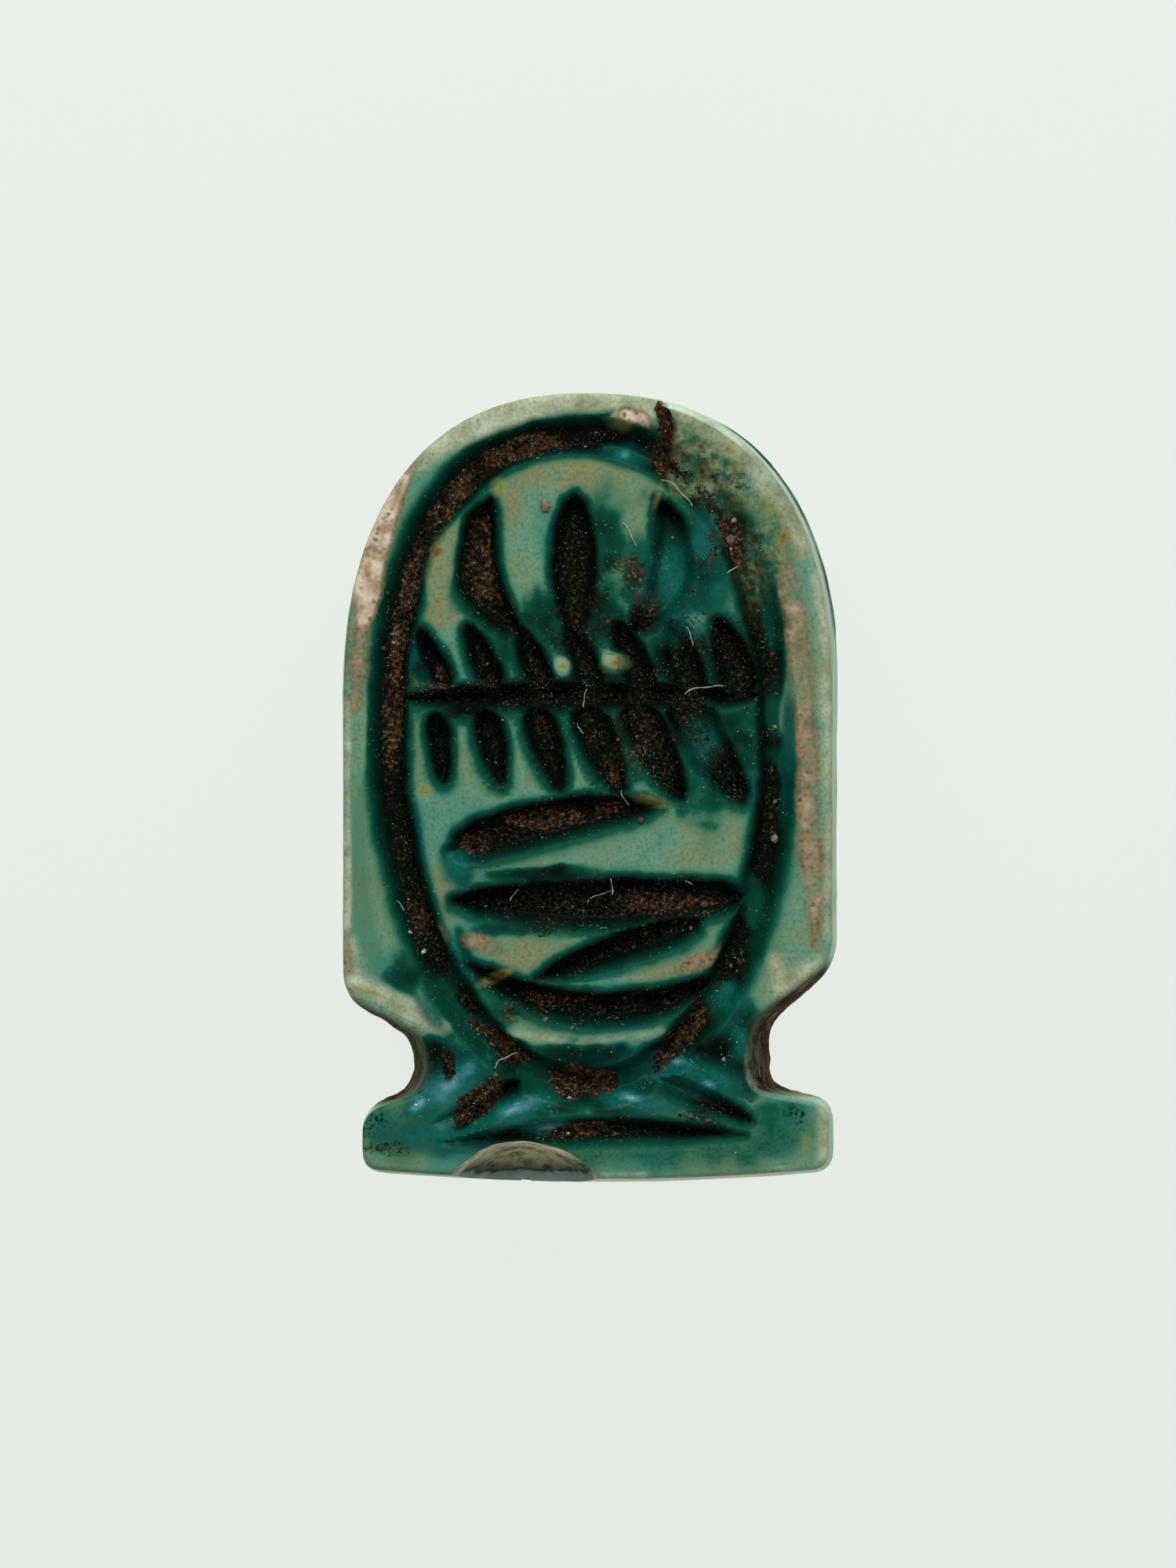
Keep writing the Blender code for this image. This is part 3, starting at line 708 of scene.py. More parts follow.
def face_finish(points, carved, soil):
    """The shares from 0 to 1 that the finish reads at each point of the face, by name."""
    spread = 0.75 + 0.5 * uneven(flat3, 0.5, 53)
    bright = np.max([band(points, rows, 0.24) for rows in worn_left], axis=0)
    dull = np.max([band(points, rows, 0.3) for rows in worn_right], axis=0)
    worn = np.max([bright, 0.68 * dull, 0.62 * patches(points, worn_islands, 0.4, 51, 0.8)], axis=0)
    ring_glaze = np.minimum(
        (lateral + RING_GLAZE_IN) / RING_GLAZE_IN_RAMP, (RING_GLAZE_OUT - lateral) / RING_GLAZE_OUT_RAMP
    )
    glazed = np.max([
        ring_glaze, glaze_share(stroke_gap, stroke_above), 0.85 * glaze_share(tie_gap, tie_above),
        0.65 * glaze_share(slip_gap, slip_above),
        *(strength * spread * patches(points, *zone) for strength, *zone in GLAZE_ZONES),
        0.38 * (0.7 + 0.4 * spread) * patches(points, foot_zone, 0.3, 56, 1.0),
        0.28 * np.max([band(points, rows, 0.4) for rows in green_rim], axis=0),
    ], axis=0)
    # A clear place holds it to half at most, and a thin place takes some away
    glazed += clear * (np.minimum(glazed, 0.5) - glazed) - 0.4 * patches(points, thin_places, 0.5, 65, 1.0)
    pools = 0.6 * patches(points, glaze_pools, 0.45, 52, 1.2)
    ridge_highlight = 0.94 * patches(points, painted_ridge_highlights, 0.35, 64, 2.0)
    scar = np.maximum(smooth(flake_depth(points) / 0.1), 0.8 * patches(points, flake_stain, 0.5, 61, 1.0))
    pale = np.max([band(points, rows, 0.3) for rows in pale_rim], axis=0) * (1 - smooth(carved / 0.5))
    pale = np.max([pale, 0.75 * islands, *(band(points, rows, 0.08) for rows in painted_lit_edges)], axis=0)
    return {
        "glaze_depth": np.clip(glazed, -0.5, 1.5) * (1 - 0.8 * pale),
        "soil": soil,
        "brown": brown,
        "olive": patches(points, olive_places, 0.5, 59, 1.2),
        "worn": worn * (1 - smooth(carved / 0.4)),
        "pale": pale,
        "pool_and_highlight": np.maximum(pools, ridge_highlight),
        "amber": patches(points, amber_spots, 0.8, 54, 2.2),
        "flaked": scar * (1 - 0.7 * pale),
    }


finish = face_finish(flat, carved, soil)
print({name: round(float(share.mean()), 3) for name, share in finish.items()})

# %% [markdown]
# The side bulges a little between its two arrises, as the parabola (2z/T - 1)^2 says, and each arris is a
# quarter round. A loop of the outline is laid at each level. Below the arris a loop keeps every second
# point, and the back every fourth, because nothing is carved there.

# %% The side's levels
SIDE_STEPS, ARRIS_STEPS = 12, 4


def side_levels():
    """Rows of (z, inset, pinch) from just below the face to the back."""
    rounding = np.linspace(0, math.pi / 2, ARRIS_STEPS + 1)
    top = THICKNESS - EDGE_ROUND + EDGE_ROUND * np.cos(rounding)
    plain = np.linspace(THICKNESS - EDGE_ROUND, EDGE_ROUND, SIDE_STEPS + 1)[1:-1]
    z = np.concatenate([top, plain, (THICKNESS - top)[::-1]])
    round_in = EDGE_ROUND * (1 - np.sin(rounding))
    inset = np.concatenate([round_in, np.zeros(len(plain)), round_in[::-1]])
    fall = (2 * z / THICKNESS - 1) ** 2
    return np.column_stack([z, inset + SIDE_BULGE * fall, NECK_PINCH * fall])[1:]


levels = side_levels()
loops = np.array([loop_at(inset, pinch) for z, inset, pinch in levels])
LOOP = loops.shape[1]
sides = np.dstack([loops, np.broadcast_to(levels[:, :1], loops.shape[:2])])
print(f"{len(levels)} levels of {LOOP} points")

# %% Round the tablet
def outward(loop):
    """The unit vector that points out of the outline at each point of an anticlockwise loop."""
    along = np.roll(loop, -1, axis=0) - np.roll(loop, 1, axis=0)
    return np.column_stack([along[:, 1], -along[:, 0]]) / np.linalg.norm(along, axis=1)[:, None]


def border(across, up):
    """The numbers of a grid's border points, in the order of the loop: foot, right, top and left."""
    number = np.arange((across + 1) * (up + 1)).reshape(up + 1, across + 1)
    return np.concatenate([number[0, :-1], number[:-1, -1], number[-1, :0:-1], number[:0:-1, 0]])


face_border = border(ACROSS, UP)
print(f"the face has {len(face_border)} points on its border")

# %% [markdown]
# The sides were filed, which left shallow dents, and in the two notches marks that run round them. Low on the
# right side a run of glaze gathered as a ledge, and a crust of soil lies along the middle of the left side.
# All of these move a point straight out or in, so the edges of the face and of the back stay as they are.

# %% Uneven sides
DENT_DEPTH, DENT_FADE = 0.035, 0.3
# Marks of the file are longer round the side than they are high
FILED = (1, 1, 2.5)
# How far down the side its points follow the height of the face's edge
RIM_REACH = 1.2


def notch_share(spots):
    """How fully each (n, 3) point of the side lies in one of the two notches, from 0 to 1."""
    x, y = spots[:, :2].T
    shoulder = from_foot(np.where(x < 0, SHOULDER_LEFT, SHOULDER_RIGHT))
    foot_top = from_foot(FOOT_SAG + np.where(x < 0, FOOT_EDGE_LEFT, FOOT_EDGE_RIGHT))
    inside = smooth((shoulder + 0.2 - y) / 0.4) * smooth((y - foot_top + 0.05) / 0.3)
    return inside * smooth((WIDTH / 2 - 0.02 - np.abs(x)) / 0.15)


def ledge_and_low_shade(spots, rise, reach):
    """How fully each point lies in the low band along the dome's right side, where glaze ran down and
    gathered as a ledge, and which the finish paints deep green as painted shade on the side's lower part: a
    bell curve of height round rise, reach mm wide each way and bent by noise."""
    x, y, z = spots.T
    level = np.exp(-(((z - rise - 0.3 * uneven(spots, 1.4, 88)) / reach) ** 2))
    return level * smooth((x - 1.0) / 2.2) * smooth((y - 0.6) / 3.6)


def side_crust(spots):
    """How thickly a crust of soil lies along the middle of the left side, from 0 to 1: noise drawn out along
    the side, within a band of height."""
    x, y, z = spots.T
    streak = smooth((uneven(spots * (0, 0.3, 0.5), 0.5, 87) + 0.12) / 0.5)
    level = smooth((z - 2.1) / 0.6) * smooth((3.5 - z) / 0.5)
    return 0.8 * streak * level * smooth(-x - 3) * smooth((y + 3) / 0.5) * smooth((4.2 - y) / 0.5)


side_points = sides.reshape(-1, 3)
dent = 0.5 + 0.5 * uneven(side_points, 1.1, 61) + 0.3 * uneven(side_points * FILED, 0.22, 62)
dent += 1.4 * notch_share(side_points) * uneven(side_points * FILED, 0.3, 86)
dent -= 0.4 * side_crust(side_points) + 2.4 * ledge_and_low_shade(side_points, 1.6, 0.5)
level_z = levels[:, 0][:, None]
middle_share = smooth((THICKNESS - level_z) / DENT_FADE) * smooth(level_z / DENT_FADE)
out = np.array([outward(loop) for loop in loops])
sides[..., :2] -= out * (DENT_DEPTH * dent.reshape(loops.shape[:2]) * middle_share)[..., None]
sides[..., 2] += height[face_border] * smooth((level_z - THICKNESS + RIM_REACH) / RIM_REACH)
print(f"sides dented by up to {DENT_DEPTH * dent.max():.3f} mm")

# %% [markdown]
# The back doesn't show on the real one, and on most such tablets it is flat and plain. It was rubbed on a
# slab, so a few hollows are left in a plane that rests on the table, with fine marks across.

# %% The plain back
BACK_ACROSS, BACK_UP = ACROSS // 4, UP // 4
BACK_INSET = 0.05
BACK_HOLLOWS, BACK_MARKS, BACK_WORN = 0.02, 0.006, 0.014
RUBBED = (1, 6, 1)
back = coons(loop_at(FACE_INSET + BACK_INSET, NECK_PINCH)[::4], BACK_ACROSS, BACK_UP).reshape(-1, 2)
back3 = np.column_stack([back, np.zeros(len(back))])
rise = BACK_HOLLOWS * (1 + uneven(back3, 1.6, 71)) + BACK_MARKS * (1 + uneven(back3 * RUBBED, 0.5, 72, 2))
back3[:, 2] = np.maximum(rise - BACK_WORN, 0)
print(f"the back has {len(back3)} points and lies within {back3[:, 2].max():.3f} mm")

# %% [markdown]
# Face, arris, wall and back are four arrays of points. Joined by their shared borders they make one closed
# skin, which the Boolean below needs. Where the loops go from fine to coarse, three triangles take up two
# steps of the fine loop, so no gap and no loose point is left.

# %% Faces between the points
def grid_faces(across, up, first=0):
    """The quads of a grid, anticlockwise as seen from above."""
    number = first + np.arange((across + 1) * (up + 1)).reshape(up + 1, across + 1)
    return np.stack([number[:-1, :-1], number[:-1, 1:], number[1:, 1:], number[1:, :-1]], -1).reshape(-1, 4)


def between(upper, lower):
    """The quads between two loops of equal length, facing out."""
    return np.stack([upper, lower, np.roll(lower, -1), np.roll(upper, -1)], -1)


def new_mesh(name, points, *faces):
    """A smooth-shaded mesh from (n, 3) points and arrays of faces."""
    mesh = bpy.data.meshes.new(name)
    mesh.from_pydata(points.tolist(), [], [row for part in faces for row in part.tolist()])
    mesh.shade_smooth()
    return mesh


def narrow(upper, lower):
    """The triangles from a loop down to one with half as many points: three for each point of the lower."""
    odd, even, following = upper[1::2], upper[::2], np.roll(lower, -1)
    return np.concatenate([
        np.column_stack([even, lower, odd]),
        np.column_stack([odd, lower, following]),
        np.column_stack([odd, following, np.roll(even, -1)]),
    ])


print(f"a grid of 2 x 3 has {len(grid_faces(2, 3))} quads")

# %% One closed mesh
arris, wall = sides[:ARRIS_STEPS], sides[ARRIS_STEPS:, ::2]
face_count, arris_count, wall_count = len(flat), arris.shape[0] * LOOP, wall.shape[0] * LOOP // 2
arris_numbers = face_count + np.arange(arris_count).reshape(arris.shape[:2])
wall_numbers = face_count + arris_count + np.arange(wall_count).reshape(wall.shape[:2])
back_first = face_count + arris_count + wall_count
back_border = back_first + border(BACK_ACROSS, BACK_UP)
rings_down = [face_border, *arris_numbers]
side_points = np.vstack([arris.reshape(-1, 3), wall.reshape(-1, 3)])
points = np.vstack([np.column_stack([flat, THICKNESS + height]), side_points, back3])
blank = new_mesh(
    "glazed_tablet", points, grid_faces(ACROSS, UP),
    np.concatenate([between(a, b) for a, b in zip(rings_down, rings_down[1:])]),
    narrow(arris_numbers[-1], wall_numbers[0]),
    np.concatenate([between(a, b) for a, b in zip(wall_numbers, wall_numbers[1:])]),
    narrow(wall_numbers[-1], back_border), grid_faces(BACK_ACROSS, BACK_UP, back_first)[:, ::-1],
)
blank.calc_loop_triangles()
print(f"the blank has {len(blank.vertices)} points and {len(blank.loop_triangles)} triangles")

# %% [markdown]
# The finish of the side is known by rule: it fades from the face's own values down to a paler, glassier
# glaze, painted lighter as painted light from the lit table below. The walls of the two notches keep the
# marks of the file, darkened by soil. The low band on the right side is deep green, as painted shade on the
# side's lower part, and the crust on the left side is brown. The back takes the finish that the side has near
# the table, more weakly, and has no notches.

# %% The finish of the side and the back
# The height at which the back takes the side's finish, and how strongly
BACK_AS_AT, BACK_STRENGTH = 0.6, 0.6
# The face's finish reaches further down the left side than down the right
FADE_START, FADE_LEFT, FADE_RIGHT = 0.02, 0.9, 0.3


def side_finish(spots, notch):
    """The shares that the finish reads at (n, 3) points of the side, by name. Notch says how fully each point
    lies in a notch."""
    x, y, z = spots.T
    cloud, speck = uneven(spots, 1.4, 81), uneven(spots, 0.25, 82)
    edge_dirt = smooth((0.5 + cloud - z / 0.5) / 0.5) * smooth(speck + 0.4)
    # Painted shade: deep green low on the right side and at its foot corner, for the side's shaded lower part
    painted_low_shade = ledge_and_low_shade(spots, 1.9, 0.75) * (0.8 + 0.5 * uneven(spots, 0.7, 89, 2))
    foot_corner = 0.6 * smooth((x - 4.0) / 0.5) * smooth((-6.0 - y) / 0.5)
    painted_low_shade += foot_corner * smooth((2.3 - z) / 0.8) * smooth(z / 1.2)
    in_notch = notch * smooth((speck + cloud + 0.1) / 0.6) * 0.9
    soil = in_notch + 0.5 * edge_dirt * (speck > 0) + side_crust(spots)
    return {
        "glaze_depth": -0.12 + 0.3 * np.maximum(cloud, 0) + 0.62 * painted_low_shade,
        "soil": np.clip(soil, 0, 1),
        "brown": np.maximum(notch, side_crust(spots)),
        "worn": smooth((uneven(spots, 0.9, 83) - 0.35) / 0.3) * 0.7 * (1 - notch),
        "pale": 0.8 * smooth((cloud - 0.1) / 0.4) * (1 - notch) * (1 - np.clip(1.5 * painted_low_shade, 0, 1)),
        "pool_and_highlight": smooth((uneven(spots, 1.1, 84) - 0.3) / 0.4) * 0.3,
        "amber": 0.6 * smooth((uneven(spots, 0.5, 85) - 0.5) / 0.3),
        "side": 1 - notch,
        "filed": notch,
    }


down = side_finish(side_points, notch_share(side_points))
under = side_finish(np.column_stack([back, np.full(len(back), BACK_AS_AT)]), np.zeros(len(back)))
beside = np.concatenate([np.tile(face_border, len(arris)), np.tile(face_border[::2], len(wall))])
fade_length = np.where(side_points[:, 0] < 0, FADE_LEFT, FADE_RIGHT)
fade = smooth((THICKNESS + FADE_START - side_points[:, 2]) / fade_length)
SHARES = (
    "glaze_depth", "soil", "brown", "olive", "worn", "pale", "pool_and_highlight", "amber", "flaked", "side", "filed",
)
for name in SHARES:
    on_face = finish.get(name, np.zeros(face_count))
    on_side = down.get(name, np.zeros(len(side_points)))
    on_side = on_face[beside] * (1 - fade) + on_side * fade
    on_back = under.get(name, np.zeros(len(back))) * BACK_STRENGTH
    values = np.concatenate([on_face, on_side, on_back]).astype(np.float32)
    blank.attributes.new(name, "FLOAT", "POINT").data.foreach_set("value", values)
print(f"{len(blank.attributes)} attributes on the blank")

# %% [markdown]
# Colours are written as they look on a screen, in sRGB, and a renderer needs them linear. One small function
# adds every node: it takes the node's kind, what goes into each socket, and the node's own settings. Some
# sockets go by number: a Mix has its share at 0 and its two colours at 6 and 7, a Math has its values at 0, 1
# and 2, and a MapRange goes from the range 1 to 2 to the range 3 to 4.

# %% Colour and nodes
def colour(code):
    """Linear RGBA of an sRGB hex colour: c/12.92 below 0.04045, else ((c + 0.055)/1.055)^2.4."""
    value = np.array([int(code[k : k + 2], 16) / 255 for k in (1, 3, 5)])
    linear = np.where(value <= 0.04045, value / 12.92, ((value + 0.055) / 1.055) ** 2.4)
    return (*linear.tolist(), 1.0)


def add(material, kind, wires=(), stops=(), **settings):
    """Adds one node to a material or a world and returns its outputs. Wires gives sockets their values or
    links, by name or number. Stops are the (place, colour) pairs of a colour ramp."""
    node = material.node_tree.nodes.new("ShaderNode" + kind)
    for name, value in settings.items():
        setattr(node, name, value)
    for socket, value in dict(wires).items():
        if isinstance(value, bpy.types.NodeSocket):
            material.node_tree.links.new(value, node.inputs[socket])
        else:
            node.inputs[socket].default_value = value
    for k, (spot, code) in enumerate(stops):
        elements = node.color_ramp.elements
        element = elements[k] if k < 2 else elements.new(spot)
        element.position = spot
        element.color = colour(code)
    return node.outputs


def per_mm(size):
    """The scale of a pattern whose lumps are that many mm across, on coordinates in metres."""
    return 1 / (size * MM)


def new_material(name):
    """An empty node material that ends in a Principled shader, and the shader."""
    material = bpy.data.materials.new(name)
    material.use_nodes = True
    return material, material.node_tree.nodes["Principled BSDF"]


def plug(material, shader, **wires):
    """Puts values or links into a shader's sockets. An underscore in a name stands for a space."""
    for name, value in wires.items():
        socket = shader.inputs[name.replace("_", " ")]
        if isinstance(value, bpy.types.NodeSocket):
            material.node_tree.links.new(value, socket)
        else:
            socket.default_value = value


print("white is", colour("#FFFFFF")[:3])

# %% [markdown]
# **Glazed steatite.** Soapstone, carved, coated with a copper and alkali glaze and fired, which also hardened
# the stone. Where the glaze ran thick into the cuts it is a deep bottle green to turquoise glass. On the high
# ground it was thin and has weathered to a soft celadon with a satin gloss, and where it is worn right
# through the buff-pink stone shows with brown pits. Glass has an IOR of about 1.5. A layered shader could
# model the glass itself, but so thin a glaze is seen by its colour, so a ramp from its thickness gives that,
# and a coat on the shader gives the gloss.

# %% Finish: patterns that every layer reads
glaze, shader = new_material("copper_glaze_on_steatite")
where = add(glaze, "TexCoord")["Object"]
share = {name: add(glaze, "Attribute", attribute_name=name)["Fac"] for name in SHARES}
# Clouds of 1.5 mm come from uneven firing, mottle of 0.35 mm from weathering, and grain of 0.07 mm from sand
cloud = add(glaze, "TexNoise", {"Vector": where, "Scale": per_mm(1.5), "Detail": 3.0})["Fac"]
mottle = add(glaze, "TexNoise", {"Vector": where, "Scale": per_mm(0.35), "Detail": 4.0})["Fac"]
grain = add(glaze, "TexNoise", {
    "Vector": where, "Scale": per_mm(0.07), "Detail": 3.0, "Roughness": 0.6})["Fac"]
print(f"the glaze reads {len(share)} attributes and three sizes of pattern")

# %% Finish: thin glaze on the high ground, and the sides painted lighter as lit from below
warmth = add(glaze, "Math", {0: share["olive"], 1: -0.18, 2: cloud}, operation="MULTIPLY_ADD")["Value"]
warmth = add(glaze, "Math", {0: mottle, 1: 0.25, 2: warmth}, operation="MULTIPLY_ADD")["Value"]
thin = add(glaze, "ValToRGB", {"Fac": warmth}, stops=[
    (0.42, "#6F7554"), (0.54, "#637C5E"), (0.64, "#5C8068"), (0.74, "#4A7A66")])["Color"]
# The side's pale colour is painted light: brighter than its glaze, as if lit from the table below
painted_lit_side_glaze = add(glaze, "ValToRGB", {"Fac": cloud}, stops=[
    (0.35, "#B6B8A0"), (0.5, "#B4C3AE"), (0.65, "#9FBDA9")])["Color"]
base = add(glaze, "Mix", {0: share["side"], 6: thin, 7: painted_lit_side_glaze}, data_type="RGBA")[2]
pale = add(glaze, "ValToRGB", {"Fac": mottle}, stops=[
    (0.35, "#828368"), (0.5, "#9B9F82"), (0.65, "#B1B39A")])["Color"]
pale_share = add(glaze, "Math", {0: share["pale"], 1: 0.85}, operation="MULTIPLY")["Value"]
base = add(glaze, "Mix", {0: pale_share, 6: base, 7: pale}, data_type="RGBA")[2]
print(f"{len(glaze.node_tree.nodes)} nodes so far")

# %% Finish: deep glaze in the cuts, and its pools
run = add(glaze, "MapRange", {"Value": share["glaze_depth"]}, interpolation_type="SMOOTHSTEP")["Result"]
ragged = add(glaze, "MapRange", {"Value": grain, 3: -0.17, 4: 0.17})["Result"]
at_edge = add(glaze, "MapRange", {"Value": run, 1: 0.0, 2: 0.12, 3: 0.3, 4: 1.0})["Result"]
ragged = add(glaze, "Math", {0: ragged, 1: at_edge}, operation="MULTIPLY")["Value"]
thickness = add(glaze, "Math", {0: run, 1: ragged}, operation="ADD")["Value"]
green_glass = add(glaze, "ValToRGB", {"Fac": thickness}, stops=[
    (0.14, "#3A6E55"), (0.3, "#15533E"), (0.46, "#063D2D"), (0.66, "#03251A"), (0.86, "#050B06")])["Color"]
blue_glass = add(glaze, "ValToRGB", {"Fac": thickness}, stops=[
    (0.14, "#33716A"), (0.3, "#0A5653"), (0.46, "#014240"), (0.66, "#02262A"), (0.86, "#04090B")])["Color"]
bluer = add(glaze, "Math", {0: share["pool_and_highlight"], 1: 0.4, 2: cloud}, operation="MULTIPLY_ADD")["Value"]
bluer = add(glaze, "MapRange", {"Value": bluer, 1: 0.5, 2: 0.78, 4: 0.7})["Result"]
deep = add(glaze, "Mix", {0: bluer, 6: green_glass, 7: blue_glass}, data_type="RGBA")[2]
how_deep = add(glaze, "MapRange", {"Value": thickness, 1: 0.0, 2: 0.36})
body = add(glaze, "Mix", {0: how_deep["Result"], 6: base, 7: deep}, data_type="RGBA")[2]

pool_and_highlight = add(glaze, "MapRange", {"Value": mottle, 3: -0.3, 4: 0.3})["Result"]
pool_and_highlight = add(glaze, "Math", {
    0: share["pool_and_highlight"], 1: pool_and_highlight, 2: share["pool_and_highlight"]}, operation="MULTIPLY_ADD")["Value"]
# The palest turquoise, on the ridges, is a painted highlight
turquoise = add(glaze, "ValToRGB", {"Fac": pool_and_highlight}, stops=[
    (0.3, "#013D30"), (0.55, "#034A3D"), (0.72, "#0F5A56"), (0.86, "#356F73"), (1.0, "#73989A")])["Color"]
pool_share = add(glaze, "MapRange", {"Value": pool_and_highlight, 1: 0.05, 2: 0.6, 4: 0.9})["Result"]
body = add(glaze, "Mix", {0: pool_share, 6: body, 7: turquoise}, data_type="RGBA")[2]
print(f"{len(glaze.node_tree.nodes)} nodes so far")

# %% [markdown]
# **Worn stone and stains.** Where the glaze is gone the steatite shows, pink-buff where it was rubbed hardest
# and olive where dirt went in, with brown pits 0.16 mm apart and tan stains. The flake is rough and took on
# some green. Amber is iron in the glaze. Each is a colour laid over the last by its own share, and each
# share is broken up by noise, because wear has no smooth border.

# %% Finish: stone where the glaze is worn through
pits = add(glaze, "TexVoronoi", {"Vector": where, "Scale": per_mm(0.16), "Randomness": 1.0})["Distance"]
dull_stone = add(glaze, "ValToRGB", {"Fac": mottle}, stops=[
    (0.3, "#4A462F"), (0.42, "#5E583D"), (0.56, "#6D634B"), (0.7, "#877B64")])["Color"]
bright_stone = add(glaze, "ValToRGB", {"Fac": mottle}, stops=[
    (0.3, "#8A7A60"), (0.42, "#A99882"), (0.56, "#BCAC97"), (0.7, "#D0C3B2")])["Color"]
brighter = add(glaze, "MapRange", {"Value": share["worn"], 1: 0.6, 2: 0.95})["Result"]
stone = add(glaze, "Mix", {0: brighter, 6: dull_stone, 7: bright_stone}, data_type="RGBA")[2]
pit_mask = add(glaze, "MapRange", {"Value": pits, 1: 0.18, 2: 0.36, 3: 1.5, 4: 0.0})["Result"]
pit_share = add(glaze, "Math", {0: pit_mask, 1: mottle}, operation="MULTIPLY")["Value"]
stone = add(glaze, "Mix", {0: pit_share, 6: stone, 7: colour("#5C4228")}, data_type="RGBA")[2]
tan = add(glaze, "TexNoise", {
    "Vector": where, "Scale": per_mm(0.28), "Detail": 5.0, "Roughness": 0.65})["Fac"]
tan_share = add(glaze, "MapRange", {"Value": tan, 1: 0.5, 2: 0.6, 4: 0.75})["Result"]
stone = add(glaze, "Mix", {0: tan_share, 6: stone, 7: colour("#85694A")}, data_type="RGBA")[2]
rubbed = add(glaze, "TexNoise", {
    "Vector": where, "Scale": per_mm(0.7), "Detail": 5.0, "Roughness": 0.6})["Fac"]
worn_edge = add(glaze, "MapRange", {"Value": rubbed, 1: 0.3, 2: 0.6, 3: 0.35, 4: 1.25})["Result"]
worn_edge = add(glaze, "Math", {
    0: share["worn"], 1: worn_edge, 2: ragged}, operation="MULTIPLY_ADD")["Value"]
worn_share = add(glaze, "MapRange", {"Value": worn_edge, 1: 0.08, 2: 0.75}, interpolation_type="SMOOTHSTEP")
body = add(glaze, "Mix", {0: worn_share["Result"], 6: body, 7: stone}, data_type="RGBA")[2]
print(f"{len(glaze.node_tree.nodes)} nodes so far")

# %% Finish: the flake, the amber specks and the filed notches
scar_grain = add(glaze, "TexNoise", {
    "Vector": where, "Scale": per_mm(0.17), "Detail": 4.0, "Roughness": 0.65})["Fac"]
scar_buff = add(glaze, "ValToRGB", {"Fac": scar_grain}, stops=[
    (0.34, "#35351F"), (0.45, "#4C5234"), (0.55, "#5C6546"), (0.68, "#777A5E")])["Color"]
scar_green = add(glaze, "ValToRGB", {"Fac": scar_grain}, stops=[
    (0.34, "#1B3A28"), (0.45, "#2A4E37"), (0.55, "#3D614A"), (0.68, "#5B7860")])["Color"]
greener = add(glaze, "MapRange", {"Value": mottle, 1: 0.47, 2: 0.58})["Result"]
scar = add(glaze, "Mix", {0: greener, 6: scar_buff, 7: scar_green}, data_type="RGBA")[2]
body = add(glaze, "Mix", {0: share["flaked"], 6: body, 7: scar}, data_type="RGBA")[2]
amber_edge = add(glaze, "Math", {0: share["amber"], 1: mottle}, operation="MULTIPLY")["Value"]
amber_share = add(glaze, "MapRange", {"Value": amber_edge, 1: 0.02, 2: 0.55, 4: 0.75})["Result"]
amber = add(glaze, "ValToRGB", {"Fac": amber_edge}, stops=[
    (0.2, "#74804F"), (0.4, "#7B7A3E"), (0.52, "#795F26"), (0.64, "#5C3A16")])["Color"]
body = add(glaze, "Mix", {0: amber_share, 6: body, 7: amber}, data_type="RGBA")[2]

stretch = add(glaze, "Mapping", {"Vector": where, "Scale": (0.5, 0.5, 1.7)})["Vector"]
filing = add(glaze, "TexNoise", {
    "Vector": stretch, "Scale": per_mm(0.3), "Detail": 5.0, "Roughness": 0.7})["Fac"]
file_marks = add(glaze, "ValToRGB", {"Fac": filing}, stops=[
    (0.36, "#1A150C"), (0.46, "#352F20"), (0.54, "#524D39"), (0.64, "#767158")])["Color"]
body = add(glaze, "Mix", {0: share["filed"], 6: body, 7: file_marks}, data_type="RGBA")[2]
print(f"{len(glaze.node_tree.nodes)} nodes so far")

# %% [markdown]
# ** Burial soil.** Silt and fine sand from the grave, packed dry into the cuts. It is matt and brown, with
# rust-coloured and pale grains; its near black in the narrow cuts, where little light reaches, is partly
# painted shade. Here it is the colour and the bump between the grains, and the larger grains are real
# geometry further on.

# %% Finish: soil in the cuts
# Nearly black soil, wherever it isn't brown: partly painted shade in the depth of the cuts
dark_earth_and_shade = add(glaze, "ValToRGB", {"Fac": grain}, stops=[
    (0.36, "#000300"), (0.48, "#030A04"), (0.56, "#0E150A"), (0.65, "#211F12"), (0.8, "#4F4B35")])["Color"]
brown_earth = add(glaze, "ValToRGB", {"Fac": grain}, stops=[
    (0.34, "#1A120C"), (0.45, "#2C2118"), (0.53, "#3D2F22"), (0.6, "#534232"), (0.74, "#84755F")])["Color"]
clumps = add(glaze, "TexNoise", {"Vector": where, "Scale": per_mm(0.2), "Detail": 2.0})["Fac"]
rust = add(glaze, "ValToRGB", {"Fac": clumps}, stops=[
    (0.36, "#6E6A70"), (0.46, "#C9C4C8"), (0.54, "#FFF0E0"), (0.64, "#F8D8AC")])["Color"]
brown_earth = add(glaze, "Mix", {0: 1.0, 6: brown_earth, 7: rust}, data_type="RGBA", blend_type="MULTIPLY")[2]
browner = add(glaze, "Math", {0: share["brown"], 1: 1.1, 2: mottle}, operation="MULTIPLY_ADD")["Value"]
browner = add(glaze, "MapRange", {"Value": browner, 1: 0.46, 2: 1.2})["Result"]
earth = add(glaze, "Mix", {0: browner, 6: dark_earth_and_shade, 7: brown_earth}, data_type="RGBA")[2]
soil_edge = add(glaze, "MapRange", {"Value": grain, 3: -0.9, 4: 0.9})["Result"]
soil_edge = add(glaze, "Math", {0: share["soil"], 1: soil_edge}, operation="ADD")["Value"]
soil_share = add(glaze, "MapRange", {"Value": soil_edge, 1: 0.36, 2: 0.68})["Result"]
body = add(glaze, "Mix", {0: soil_share, 6: body, 7: earth}, data_type="RGBA")[2]
print(f"{len(glaze.node_tree.nodes)} nodes so far")

